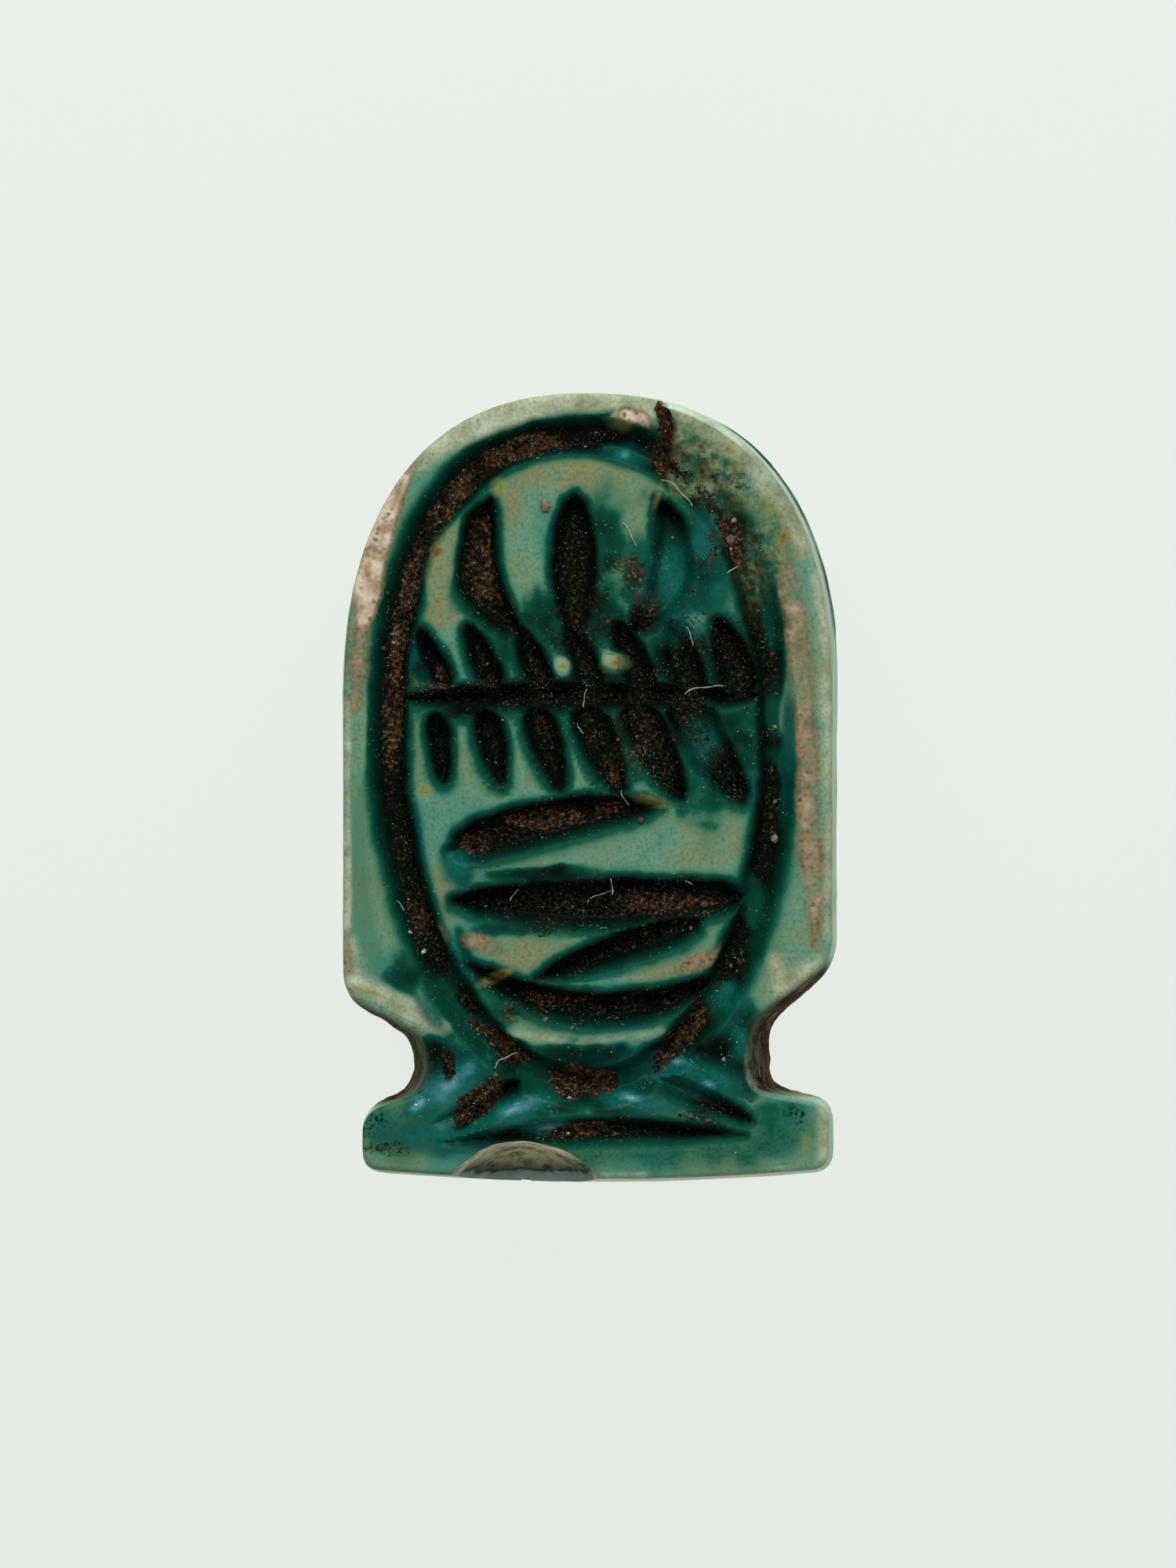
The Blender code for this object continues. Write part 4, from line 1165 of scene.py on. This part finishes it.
# %% Finish: pale dust in the cuts, and the grain of it all
specks = add(glaze, "TexNoise", {"Vector": where, "Scale": per_mm(0.055), "Detail": 1.0})["Fac"]
drifts = add(glaze, "TexNoise", {"Vector": where, "Scale": per_mm(0.5), "Detail": 2.0})["Fac"]
dusty = add(glaze, "Math", {0: drifts, 1: 0.35, 2: specks}, operation="MULTIPLY_ADD")["Value"]
dusty = add(glaze, "MapRange", {"Value": dusty, 1: 0.87, 2: 1.0, 4: 0.4})["Result"]
in_cuts = add(glaze, "MapRange", {"Value": run, 1: 0.2, 2: 0.6})["Result"]
dusty = add(glaze, "Math", {0: dusty, 1: in_cuts}, operation="MULTIPLY")["Value"]
body = add(glaze, "Mix", {0: dusty, 6: body, 7: colour("#8C9A90")}, data_type="RGBA")[2]
tooth = add(glaze, "ValToRGB", {"Fac": grain}, stops=[
    (0.3, "#BDBDBD"), (0.5, "#F0F0F0"), (0.62, "#FFFFFF")])["Color"]
bite = add(glaze, "MapRange", {"Value": share["side"], 3: 0.8, 4: 0.4})["Result"]
body = add(glaze, "Mix", {0: bite, 6: body, 7: tooth}, data_type="RGBA", blend_type="MULTIPLY")[2]
print(f"{len(glaze.node_tree.nodes)} nodes so far")

# %% [markdown]
# Weathered glaze has a soft satin gloss, and the pools have a clearer one. Soil, worn stone and filed walls
# have none. The shader's coat gives the gloss, since its weight may vary over the surface.

# %% Finish: gloss and bump
matt = add(glaze, "Math", {0: soil_share, 1: worn_share["Result"]}, operation="MAXIMUM")["Value"]
matt = add(glaze, "Math", {0: matt, 1: share["filed"]}, operation="MAXIMUM")["Value"]
gloss = add(glaze, "MapRange", {"Value": matt, 3: 0.5, 4: 0.0})["Result"]
glassy = add(glaze, "MapRange", {"Value": share["pool_and_highlight"], 3: 0.06, 4: 0.4})["Result"]
gloss = add(glaze, "Math", {0: gloss, 1: glassy}, operation="MULTIPLY")["Value"]
rough_height = add(glaze, "Math", {0: grain, 1: soil_share}, operation="MULTIPLY")["Value"]
bump_soil = add(glaze, "Bump", {"Height": rough_height, "Distance": 0.03 * MM, "Strength": 0.9})["Normal"]
bump_glaze = add(glaze, "Bump", {"Height": mottle, "Distance": 0.012 * MM, "Normal": bump_soil})["Normal"]
plug(glaze, shader, Base_Color=body, Roughness=0.8, Normal=bump_glaze, IOR=1.5, Specular_IOR_Level=0.02,
     Coat_Weight=gloss, Coat_Roughness=0.38, Coat_IOR=1.5, Coat_Normal=bump_glaze)
print(f"{len(glaze.node_tree.nodes)} nodes in the glaze")

# %% [markdown]
# ** Broken steatite.** The stone breaks in thin layers, buff to grey, with soil in the cracks and no gloss at
# all. The chip is paler near its upper edge and darker below. There the strip beside the foot's edge is
# grey-green and clean, then comes a dark line, and the part towards the neck is buff and blotched. These
# zones follow height and the distance from the foot, so the material reads the place itself, and needs no
# attribute.

# %% Finish: bare broken stone
bare, shader = new_material("broken_steatite")
where = add(bare, "TexCoord")["Object"]
stretch = add(bare, "Mapping", {
    "Vector": where, "Rotation": (0.5, 0.25, 0.0), "Scale": (0.5, 0.9, 2.0)})["Vector"]
layers = add(bare, "TexNoise", {
    "Vector": stretch, "Scale": per_mm(0.35), "Detail": 6.0, "Roughness": 0.65})["Fac"]
fresh = add(bare, "ValToRGB", {"Fac": layers}, stops=[
    (0.34, "#3E3A2A"), (0.42, "#7A765E"), (0.5, "#A29C84"), (0.62, "#C6C0AA")])["Color"]
here = add(bare, "SeparateXYZ", {"Vector": where})
uneven_height = add(bare, "Math", {0: layers, 1: 0.8 * MM, 2: here["Z"]}, operation="MULTIPLY_ADD")["Value"]
near_edge = add(bare, "MapRange", {"Value": uneven_height, 1: 4.1 * MM, 2: 4.5 * MM})["Result"]
how_far = add(bare, "Math", {0: layers, 1: 0.35 * MM, 2: here["Y"]}, operation="MULTIPLY_ADD")["Value"]
how_far = add(bare, "MapRange", {
    "Value": how_far, 1: -LENGTH / 2 * MM, 2: (CHIP_REACH - LENGTH / 2) * MM})["Result"]
hollow_stone = add(bare, "ValToRGB", {"Fac": how_far}, stops=[
    (0.3, "#788A82"), (0.47, "#61726A"), (0.52, "#10140E"), (0.57, "#35382A"), (0.7, "#6A684E"),
    (0.9, "#8A846A")])["Color"]
blotch = add(bare, "TexNoise", {
    "Vector": where, "Scale": per_mm(0.3), "Detail": 4.0, "Roughness": 0.6})["Fac"]
blotch = add(bare, "ValToRGB", {"Fac": blotch}, stops=[
    (0.36, "#4C5A44"), (0.46, "#C8CCB8"), (0.54, "#FFFFFF")])["Color"]
above = add(bare, "MapRange", {"Value": how_far, 1: 0.5, 2: 0.56, 3: 0.15, 4: 1.0})["Result"]
hollow_stone = add(bare, "Mix", {
    0: above, 6: hollow_stone, 7: blotch}, data_type="RGBA", blend_type="MULTIPLY")[2]
tone = add(bare, "Mix", {0: near_edge, 6: hollow_stone, 7: fresh}, data_type="RGBA")[2]
bump = add(bare, "Bump", {"Height": layers, "Distance": 0.05 * MM, "Strength": 0.8})["Normal"]
plug(bare, shader, Base_Color=tone, Roughness=0.85, Normal=bump, IOR=1.5)
print(f"{len(bare.node_tree.nodes)} nodes in the broken stone")

# %% Finish: soil on the wall of the bore
bored, shader = new_material("soil_in_bore")
where = add(bored, "TexCoord")["Object"]
grit = add(bored, "TexNoise", {"Vector": where, "Scale": per_mm(0.12), "Detail": 4.0})["Fac"]
tone = add(bored, "ValToRGB", {"Fac": grit}, stops=[
    (0.38, "#0C0E09"), (0.5, "#2A2114"), (0.64, "#5A4C36")])["Color"]
bump = add(bored, "Bump", {"Height": grit, "Distance": 0.03 * MM})["Normal"]
plug(bored, shader, Base_Color=tone, Roughness=0.95, Normal=bump)
print(f"{len(bored.node_tree.nodes)} nodes in the bore")

# %% [markdown]
# A chip broke off where the bore leaves the foot, and the bore itself runs the whole length. Neither can be a
# height over the face: the bore runs below it, and the chip took the edge and part of the wall with it. So an
# exact Boolean takes them out of the blank, and leaves the cutter's own material on the cut. The cutters are
# an uneven ball and a tube a little longer than the tablet.

# %% Shapes of the cutters
def ball(centre, radii, around, tall, rough, seed):
    """A closed, uneven ellipsoid: (rx cos a cos b, ry sin a cos b, rz sin b) times 1 + rough noise, with one
    point at each pole. Returns its points, its quads and its two fans of triangles."""
    a = np.arange(around) / around * 2 * math.pi
    b = np.linspace(-math.pi / 2, math.pi / 2, tall + 1)[1:-1]
    a, b = np.meshgrid(a, b)
    unit = np.stack([np.cos(a) * np.cos(b), np.sin(a) * np.cos(b), np.sin(b)], -1).reshape(-1, 3)
    unit = np.vstack([unit, (0, 0, -1), (0, 0, 1)])
    dented = unit * (1 + rough * uneven(unit * radii, 0.6, seed))[:, None]
    number = np.arange(around * (tall - 1)).reshape(tall - 1, around)
    low_pole, high_pole = around * (tall - 1), around * (tall - 1) + 1
    quads = np.stack([number[:-1], np.roll(number[:-1], -1, 1), np.roll(number[1:], -1, 1), number[1:]], -1)
    low_fan = np.column_stack([np.roll(number[0], -1), number[0], np.full(around, low_pole)])
    high_fan = np.column_stack([number[-1], np.roll(number[-1], -1), np.full(around, high_pole)])
    return dented * radii + centre, quads.reshape(-1, 4), np.concatenate([low_fan, high_fan])


def tube(path, radius, around, rough, seed):
    """A closed tube along a path: at each point a circle, centre + r(cos a U + sin a V), and a flat end."""
    along = np.gradient(path, axis=0)
    along /= np.linalg.norm(along, axis=1)[:, None]
    side = np.cross(along, (0.31, 0.17, 0.94))
    side /= np.linalg.norm(side, axis=1)[:, None]
    other = np.cross(along, side)
    a = np.arange(around) / around * 2 * math.pi
    wall = side[:, None] * np.cos(a)[:, None] + other[:, None] * np.sin(a)[:, None]
    spots = (path[:, None] + wall * np.reshape(radius, (-1, 1, 1))).reshape(-1, 3)
    wall = wall.reshape(-1, 3)
    spots += wall * (rough * uneven(spots, 0.5, seed))[:, None]
    number = np.arange(len(spots)).reshape(len(path), around)
    quads = np.stack([number[:-1], np.roll(number[:-1], -1, 1), np.roll(number[1:], -1, 1), number[1:]], -1)
    ends = np.stack([number[0][::-1], number[-1]])
    return spots, quads.reshape(-1, 4), ends


print(f"a ball of 8 by 4 has {len(ball(np.zeros(3), np.ones(3), 8, 4, 0.0, 1)[0])} points")

# %% The chip and the bore
CHIP_AROUND, CHIP_TALL, CHIP_ROUGH = 64, 32, 0.09
BORE_STEPS, BORE_AROUND, BORE_ROUGH, BORE_SPARE = 48, 28, 0.05, 0.08
chip_rise = CHIP_REACH * CHIP_SWELL
chip = new_mesh("chip_cutter", *ball(
    (BORE_FOOT_OFFSET, from_foot(CHIP_REACH) - chip_rise, THICKNESS),
    np.array((CHIP_WIDTH / 2, chip_rise, CHIP_DEPTH)), CHIP_AROUND, CHIP_TALL, CHIP_ROUGH, 91,
))
bore_share = np.linspace(-BORE_SPARE, 1 + BORE_SPARE, BORE_STEPS)[:, None]
foot_end = np.array((BORE_FOOT_OFFSET, -LENGTH / 2, THICKNESS / 2))
dome_end = np.array((BORE_DOME_OFFSET, LENGTH / 2, THICKNESS / 2))
bore = new_mesh("bore_cutter", *tube(
    foot_end + (dome_end - foot_end) * bore_share, np.full(BORE_STEPS, BORE_DIAMETER / 2),
    BORE_AROUND, BORE_ROUGH, 92,
))
chip.materials.append(bare)
bore.materials.append(bored)
blank.materials.append(glaze)
print(f"the chip's cutter has {len(chip.vertices)} points and the bore's {len(bore.vertices)}")

# %% [markdown]
# The points that the Boolean makes come without attributes, and the rim of each cut would show that as a
# halo. So each of them takes the values of the blank's nearest point, which a tree of the points finds fast.

# %% The cut
def put(mesh):
    """An object of the mesh in the scene."""
    piece = bpy.data.objects.new(mesh.name, mesh)
    bpy.context.scene.collection.objects.link(piece)
    return piece


def cut(mesh, *cutters):
    """The mesh with the cutters taken out of it, as a new mesh."""
    body = put(mesh)
    group = bpy.data.collections.new("cutters")
    for cutter in cutters:
        group.objects.link(bpy.data.objects.new(cutter.name, cutter))
    bpy.context.scene.collection.children.link(group)
    boolean = body.modifiers.new("cut", "BOOLEAN")
    boolean.operand_type, boolean.collection = "COLLECTION", group
    boolean.solver, boolean.material_mode = "EXACT", "TRANSFER"
    bpy.context.view_layer.update()
    graph = bpy.context.evaluated_depsgraph_get()
    result = bpy.data.meshes.new_from_object(body.evaluated_get(graph))
    for spare in (body, *group.objects):
        bpy.data.objects.remove(spare)
    bpy.data.collections.remove(group)
    return result


def mend_rims(mesh):
    """Gives each point of a cut the finish of the blank's nearest point. Returns how many there were."""
    tree = KDTree(len(points))
    for k, spot in enumerate(points):
        tree.insert(spot, k)
    tree.balance()
    is_cut = [polygon for polygon in mesh.polygons if mesh.materials[polygon.material_index] != glaze]
    rims = sorted({number for polygon in is_cut for number in polygon.vertices})
    nearest = [tree.find(mesh.vertices[number].co)[1] for number in rims]
    before, after = np.zeros(len(points), np.float32), np.zeros(len(mesh.vertices), np.float32)
    for name in SHARES:
        blank.attributes[name].data.foreach_get("value", before)
        mesh.attributes[name].data.foreach_get("value", after)
        after[rims] = before[nearest]
        mesh.attributes[name].data.foreach_set("value", after)
    return len(rims)


tablet_mesh = cut(blank, chip, bore)
print(f"{mend_rims(tablet_mesh)} points of the cuts mended")

# %% The tablet, in metres
SHARP_ANGLE = 50
tablet_mesh.shade_smooth()
tablet_mesh.set_sharp_from_angle(angle=math.radians(SHARP_ANGLE))
tablet_mesh.transform(((MM, 0, 0, 0), (0, MM, 0, 0), (0, 0, MM, 0), (0, 0, 0, 1)))
tablet_mesh.name = "glazed_tablet"
tablet = put(tablet_mesh)
tablet.name = "glazed_tablet"
tablet_mesh.calc_loop_triangles()
print(f"tablet: {len(tablet_mesh.loop_triangles)} triangles")
print("materials:", [material.name for material in tablet_mesh.materials])

# %% [markdown]
# Soil is grains, and the eye finds them at once. A particle system could scatter them, but as one mesh worked
# out here they are the same on every run. Each is an icosahedron of 20 faces, stretched and turned at random,
# and sits on the face's own height. Where they lie is drawn from the soil's share at each point.

# %% One bit of soil, many times
seed_shape = bmesh.new()
bmesh.ops.create_icosphere(seed_shape, subdivisions=1, radius=1.0)
BIT_POINTS = np.array([vert.co for vert in seed_shape.verts])
BIT_FACES = np.array([[vert.index for vert in face.verts] for face in seed_shape.faces])
seed_shape.free()
BIT_STRETCH, BIT_DENTS = (0.65, 1.25), (0.72, 1.12)


def bits(centres, reach, shade, chance):
    """Angular bits: centre + R(q * s * d * reach), with q a point of the icosahedron, s a stretch along each
    axis, d a dent at each point and R a turn. Returns their points, triangles and each point's shade."""
    count = len(centres)
    turn = np.linalg.qr(chance.normal(size=(count, 3, 3)))[0]
    turn[:, :, 0] *= np.sign(np.linalg.det(turn))[:, None]
    stretch = chance.uniform(*BIT_STRETCH, (count, 1, 3))
    dents = chance.uniform(*BIT_DENTS, (count, len(BIT_POINTS), 1))
    local = BIT_POINTS * stretch * dents * reach[:, None, None]
    spots = np.einsum("nij,nkj->nki", turn, local) + centres[:, None]
    faces = BIT_FACES + (np.arange(count) * len(BIT_POINTS))[:, None, None]
    return spots.reshape(-1, 3), faces.reshape(-1, 3), np.repeat(shade, len(BIT_POINTS))


def on_face(spots):
    """The face's height in mm at (n, 2) places, from the nearest point of its grid."""
    nearest = [np.argmin(np.sum((flat - spot) ** 2, axis=1)) for spot in spots]
    return THICKNESS + height[nearest]


print(f"a bit of soil has {len(BIT_POINTS)} points and {len(BIT_FACES)} faces")

# %% Loose grains in the cuts
# Silt and sand have sizes that spread by ratio, so half the grains lie within a factor of 1.4 of the median
GRAINS, GRAIN_REACH, GRAIN_SPREAD = 3000, 0.017, 0.5
GRAIN_LEAST, GRAIN_MOST, GRAIN_STRAY = 0.009, 0.06, 0.02
GRAIN_SHADE = (0.8, 4.5)
SHADE_MOST = 0.85
chance = np.random.default_rng(2024)
soil_weight = np.clip(soil - 0.25, 0, 1) ** 1.2
picked = chance.choice(face_count, GRAINS, p=soil_weight / soil_weight.sum())
reach = np.clip(chance.lognormal(math.log(GRAIN_REACH), GRAIN_SPREAD, GRAINS), GRAIN_LEAST, GRAIN_MOST)
grain_spots = flat[picked] + chance.normal(0, GRAIN_STRAY, (GRAINS, 2))
grain_centres = np.column_stack([grain_spots, THICKNESS + height[picked] + 0.15 * reach])
grain_shade = chance.beta(*GRAIN_SHADE, GRAINS)
grain_shade = grain_shade + 0.2 * finish["brown"][picked] * chance.uniform(0, 1, GRAINS)
grain_shade = np.clip(grain_shade, 0, SHADE_MOST)
print(f"{GRAINS} grains of {2 * np.median(reach):.3f} mm")

# %% Specks of pale dust
DUST, DUST_LEAST, DUST_MOST = 520, 0.006, 0.014
dust_weight = np.clip(finish["glaze_depth"] - 0.3, 0, 1) + 0.01
dusted = chance.choice(face_count, DUST, p=dust_weight / dust_weight.sum())
dust_reach = chance.uniform(DUST_LEAST, DUST_MOST, DUST)
dust_centres = np.column_stack([flat[dusted], THICKNESS + height[dusted] + 0.3 * dust_reach])
print(f"{DUST} specks of dust of {2 * np.median(dust_reach):.3f} mm")

# %% Crumbs that show one by one
# Rows of column, row, size in mm and shade from dark to pale
CRUMB_ROUND, CRUMB_LIFT = 0.62, 0.1
crumb_rows = np.array([
    (700, 650, 0.24, 0.72), (668, 567, 0.13, 0.55), (934, 694, 0.17, 0.62), (938, 668, 0.1, 0.8),
    (990, 1072, 0.17, 0.72), (604, 1090, 0.12, 0.55), (528, 1190, 0.1, 0.8), (545, 1214, 0.09, 0.85),
    (820, 1048, 0.13, 0.5), (640, 1345, 0.1, 0.45), (556, 880, 0.1, 0.5), (578, 838, 0.07, 0.55),
    (636, 975, 0.06, 0.6), (570, 972, 0.06, 0.55), (700, 1300, 0.1, 0.6), (800, 1272, 0.08, 0.5),
    (826, 1190, 0.09, 0.55), (900, 1155, 0.11, 0.55), (884, 1185, 0.08, 0.6), (934, 1232, 0.08, 0.65),
    (760, 1375, 0.12, 0.5), (720, 1392, 0.1, 0.5), (728, 1444, 0.08, 0.9), (712, 1441, 0.06, 0.85),
    (905, 1428, 0.1, 0.55), (836, 1420, 0.06, 0.6), (960, 1402, 0.08, 0.5), (925, 1350, 0.09, 0.75),
    (536, 1408, 0.06, 0.95), (552, 1402, 0.05, 0.9), (640, 1105, 0.05, 0.5), (812, 715, 0.11, 0.5),
    (822, 735, 0.12, 0.45), (860, 690, 0.05, 0.8), (750, 575, 0.05, 0.85), (690, 590, 0.05, 0.8),
    (500, 760, 0.08, 0.5), (494, 830, 0.09, 0.45), (520, 880, 0.08, 0.5), (990, 930, 0.08, 0.75),
])
crumb_spots = np.array([place(column, row) for column, row in crumb_rows[:, :2]])
crumb_reach = crumb_rows[:, 2] * CRUMB_ROUND
crumb_centres = np.column_stack([crumb_spots, on_face(crumb_spots) + CRUMB_LIFT * crumb_reach])
loose_soil = [
    (grain_centres, reach, grain_shade),
    (dust_centres, dust_reach, chance.uniform(0.62, 1.0, DUST)),
    (crumb_centres, crumb_reach, crumb_rows[:, 3]),
]
print(f"{len(crumb_rows)} crumbs")

# %% [markdown]
# **Grains of silt and sand.** Quartz, clay and rust, dry and matt, from nearly black through brown to pale
# grey. Each grain is one thing, so it has one shade, which its points carry as an attribute, and only a fine
# noise breaks it up. Its faces stay flat, as a broken crystal's are.

# %% Finish: the grains
silt, shader = new_material("burial_soil")
tone = add(silt, "Attribute", attribute_name="shade")["Fac"]
where = add(silt, "TexCoord")["Object"]
grit = add(silt, "TexNoise", {"Vector": where, "Scale": per_mm(0.05), "Detail": 3.0})["Fac"]
tone = add(silt, "Math", {0: tone, 1: add(silt, "MapRange", {"Value": grit, 3: -0.18, 4: 0.18})["Result"]},
           operation="ADD")["Value"]
tone = add(silt, "ValToRGB", {"Fac": tone}, stops=[
    (0.05, "#090B06"), (0.25, "#1C1911"), (0.42, "#2D261B"), (0.55, "#443726"), (0.7, "#615A46"),
    (0.85, "#8C8770"), (0.97, "#B9BDB2")])["Color"]
bump = add(silt, "Bump", {"Height": grit, "Distance": 0.01 * MM})["Normal"]
plug(silt, shader, Base_Color=tone, Roughness=0.75, Normal=bump, IOR=1.5, Specular_IOR_Level=0.12)
print(f"{len(silt.node_tree.nodes)} nodes in the silt")

# %% All the soil as one mesh
parts = [bits(centres, size, shade, chance) for centres, size, shade in loose_soil]
starts = np.cumsum([0] + [len(part[0]) for part in parts[:-1]])
soil_mesh = new_mesh(
    "soil_grains", np.vstack([part[0] for part in parts]) * MM,
    *[part[1] + start for part, start in zip(parts, starts)],
)
soil_mesh.shade_flat()
shades = np.concatenate([part[2] for part in parts]).astype(np.float32)
soil_mesh.attributes.new("shade", "FLOAT", "POINT").data.foreach_set("value", shades)
soil_mesh.materials.append(silt)
grains = put(soil_mesh)
print(f"soil: {len(soil_mesh.polygons)} triangles")

# %% [markdown]
# **Lint.** A few hairs cling to the cuts: cotton or wool, about 0.02 mm thick, pale and slightly curled.
# Blender's own hair curves could draw them, but a mesh is exported just as it is. Each is a thin tube along a
# gently waving path that rests on the face, stiff enough to bridge the narrow hollows.

# %% Paths of the hairs
HAIR, HAIR_STEPS, HAIR_AROUND = 0.011, 22, 6
HAIR_LIFT, HAIR_SAG = 2.5, 0.05
# Rows of the start's column and row, the end's column and row, and the bow in points of the picture
hair_rows = [
    (846, 618, 884, 652, 7), (798, 672, 814, 702, 2), (796, 1010, 806, 1028, -3), (752, 1152, 786, 1138, 4),
    (784, 1142, 782, 1122, -1), (876, 888, 925, 880, 5), (752, 882, 748, 905, -2), (636, 1362, 664, 1344, 6),
    (878, 804, 886, 828, 2), (876, 1125, 886, 1130, 1), (512, 1150, 520, 1162, 1), (930, 736, 942, 728, 1),
    (740, 925, 748, 938, -2), (655, 1150, 666, 1136, 2),
]


def hair_path(x0, y0, x1, y1, bow):
    """A line from start to end with a sideways wave, bow (sin(pi t) + 0.3 sin(2.6 pi t)), laid on the face.
    It bridges a hollow halfway between the highest ground before and after, and sags a little."""
    start, end = place(x0, y0), place(x1, y1)
    t = np.linspace(0, 1, HAIR_STEPS)[:, None]
    run = end - start
    aside = np.array((-run[1], run[0])) / np.linalg.norm(run)
    spots = start + run * t + aside * bow * POINT * (np.sin(math.pi * t) + 0.3 * np.sin(2.6 * math.pi * t))
    lift = on_face(spots)
    level = np.maximum.accumulate(lift) * 0.5 + np.maximum.accumulate(lift[::-1])[::-1] * 0.5
    return np.column_stack([spots, np.maximum(lift + HAIR_LIFT * HAIR, level - HAIR_SAG)])


print(f"{len(hair_rows)} hairs of {2 * HAIR} mm")

# %% Hairs of lint
hairs, count = [], 0
for row in hair_rows:
    hair_points, quads, ends = tube(hair_path(*row), np.full(HAIR_STEPS, HAIR), HAIR_AROUND, 0.0, 1)
    hairs.append((hair_points, quads + count, ends + count))
    count += len(hair_points)
lint_mesh = new_mesh(
    "lint_hairs", np.vstack([hair[0] for hair in hairs]) * MM,
    *[hair[1] for hair in hairs], *[hair[2] for hair in hairs],
)
lint, shader = new_material("lint")
where = add(lint, "TexCoord")["Object"]
tuft = add(lint, "TexNoise", {"Vector": where, "Scale": per_mm(0.1), "Detail": 2.0})["Fac"]
tone = add(lint, "ValToRGB", {"Fac": tuft}, stops=[(0.35, "#5E6156"), (0.65, "#999D90")])["Color"]
plug(lint, shader, Base_Color=tone, Roughness=0.8, Sheen_Weight=0.3)
lint_mesh.materials.append(lint)
lint_piece = put(lint_mesh)
print(f"lint: {len(lint_mesh.polygons)} faces")

# %% [markdown]
# The tablet has no moving part, so it has one body, the root, and every piece rides on it. The detailed
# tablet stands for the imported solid, which stays hidden for physics.

# %% Each piece rides on the tablet's body
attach(tablet, "root")
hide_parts("cartouche_amulet")
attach(grains, "root")
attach(lint_piece, "root")
print("three pieces ride on the root")

# %% [markdown]
# The tablet lies on its back on a lit white table, so there is almost no shadow, and the sides catch light
# from below. A floor that mostly glows does the same. Seen from the side, a real table runs on into a wall of
# the same white, so the sky is as bright as the table at the horizon. Right above it is dim, and the large
# soft lights stand low, so the flat face doesn't mirror anything white and the dark glaze keeps its depth.

# %% The lit table
# The stage is in metres
TABLE_HALF, TABLE_DROP = 2, 0.00002
table_mesh = bpy.data.meshes.new("light_table")
table_mesh.from_pydata([
    (-TABLE_HALF, -TABLE_HALF, 0), (TABLE_HALF, -TABLE_HALF, 0), (TABLE_HALF, TABLE_HALF, 0),
    (-TABLE_HALF, TABLE_HALF, 0),
], [], [(0, 1, 2, 3)])
# A hair's breadth below the tablet's back, so that the two don't fight for the same plane
table_mesh.transform(((1, 0, 0, 0), (0, 1, 0, 0), (0, 0, 1, -TABLE_DROP), (0, 0, 0, 1)))
paper, shader = new_material("lit_paper")
along_table = add(paper, "SeparateXYZ", {"Vector": add(paper, "TexCoord")["Object"]})["Y"]
along_table = add(paper, "MapRange", {"Value": along_table, 1: -15 * MM, 2: 15 * MM})["Result"]
glow = add(paper, "ValToRGB", {"Fac": along_table}, stops=[(0.0, "#E7ECE6"), (1.0, "#EBF1EA")])["Color"]
plug(paper, shader, Base_Color=colour("#2A2B2A"), Roughness=1.0, Specular_IOR_Level=0.0,
     Emission_Color=glow, Emission_Strength=0.95)
table_mesh.materials.append(paper)
floor = put(table_mesh)
print("the table is stage, no part of the object")

# %% The sky and the lights
LIGHT_AWAY, LIGHT_SIZE = 0.3, 0.18
world = bpy.data.worlds.new("studio")
bpy.context.scene.world = world
world.use_nodes = True
sky = world.node_tree.nodes["Background"]
up = add(world, "SeparateXYZ", {"Vector": add(world, "TexCoord")["Generated"]})["Z"]
dimmer = add(world, "MapRange", {"Value": up, 1: 0.04, 2: 0.28, 3: 0.97, 4: 0.1})["Result"]
world.node_tree.links.new(dimmer, sky.inputs["Strength"])
sky.inputs["Color"].default_value = colour("#E6ECE6")


def soft_light(name, azimuth, elevation, power, tint):
    """A square area light that is aimed at the tablet, from an azimuth off -Y and an elevation."""
    lamp = bpy.data.lights.new(name, "AREA")
    lamp.size, lamp.energy, lamp.color = LIGHT_SIZE, power, colour(tint)[:3]
    holder = bpy.data.objects.new(name, lamp)
    bpy.context.scene.collection.objects.link(holder)
    a, e = math.radians(azimuth), math.radians(elevation)
    away = Vector((math.sin(a) * math.cos(e), -math.cos(a) * math.cos(e), math.sin(e)))
    holder.location = away * LIGHT_AWAY
    holder.rotation_euler = away.to_track_quat("Z", "Y").to_euler()


soft_light("upper_left", 200, 46, 0.84, "#FFFFFF")
soft_light("upper_right", 150, 44, 0.62, "#F4FAFF")
soft_light("lower", 0, 40, 0.32, "#FFFFFF")
print(f"{len(bpy.data.lights)} soft lights")

# %% [markdown]
# The picture was taken from right above through a long lens. The camera is a quarter of a metre away, leans a
# degree or so off the upright, and its lens makes the picture's height just fill the view at the tablet.

# %% Camera
SENSOR, FAR = 36.0, 250.0
LEAN_RIGHT, LEAN_DOWN = math.radians(1.4), math.radians(0.9)
picture_wide, picture_tall = PICTURE_WIDTH * POINT, PICTURE_HEIGHT * POINT
lens = bpy.data.cameras.new("camera")
lens.sensor_width = SENSOR
lens.lens = SENSOR * FAR / picture_tall
lens.clip_start, lens.clip_end = 0.01, 10.0
camera = bpy.data.objects.new("camera", lens)
bpy.context.scene.collection.objects.link(camera)
bpy.context.scene.camera = camera
aim = Vector((*place(PICTURE_WIDTH / 2, PICTURE_HEIGHT / 2), THICKNESS / 2)) * MM
away = Vector((math.sin(LEAN_RIGHT), -math.sin(LEAN_DOWN), 1)).normalized()
camera.location = aim + away * FAR * MM
right = Vector((0, 1, 0)).cross(away).normalized()
camera.rotation_euler = Matrix((right, away.cross(right), away)).transposed().to_euler()
bpy.context.scene.view_settings.view_transform = "Standard"
print(f"lens {lens.lens:.0f} mm for a picture {picture_wide:.1f} x {picture_tall:.1f} mm")
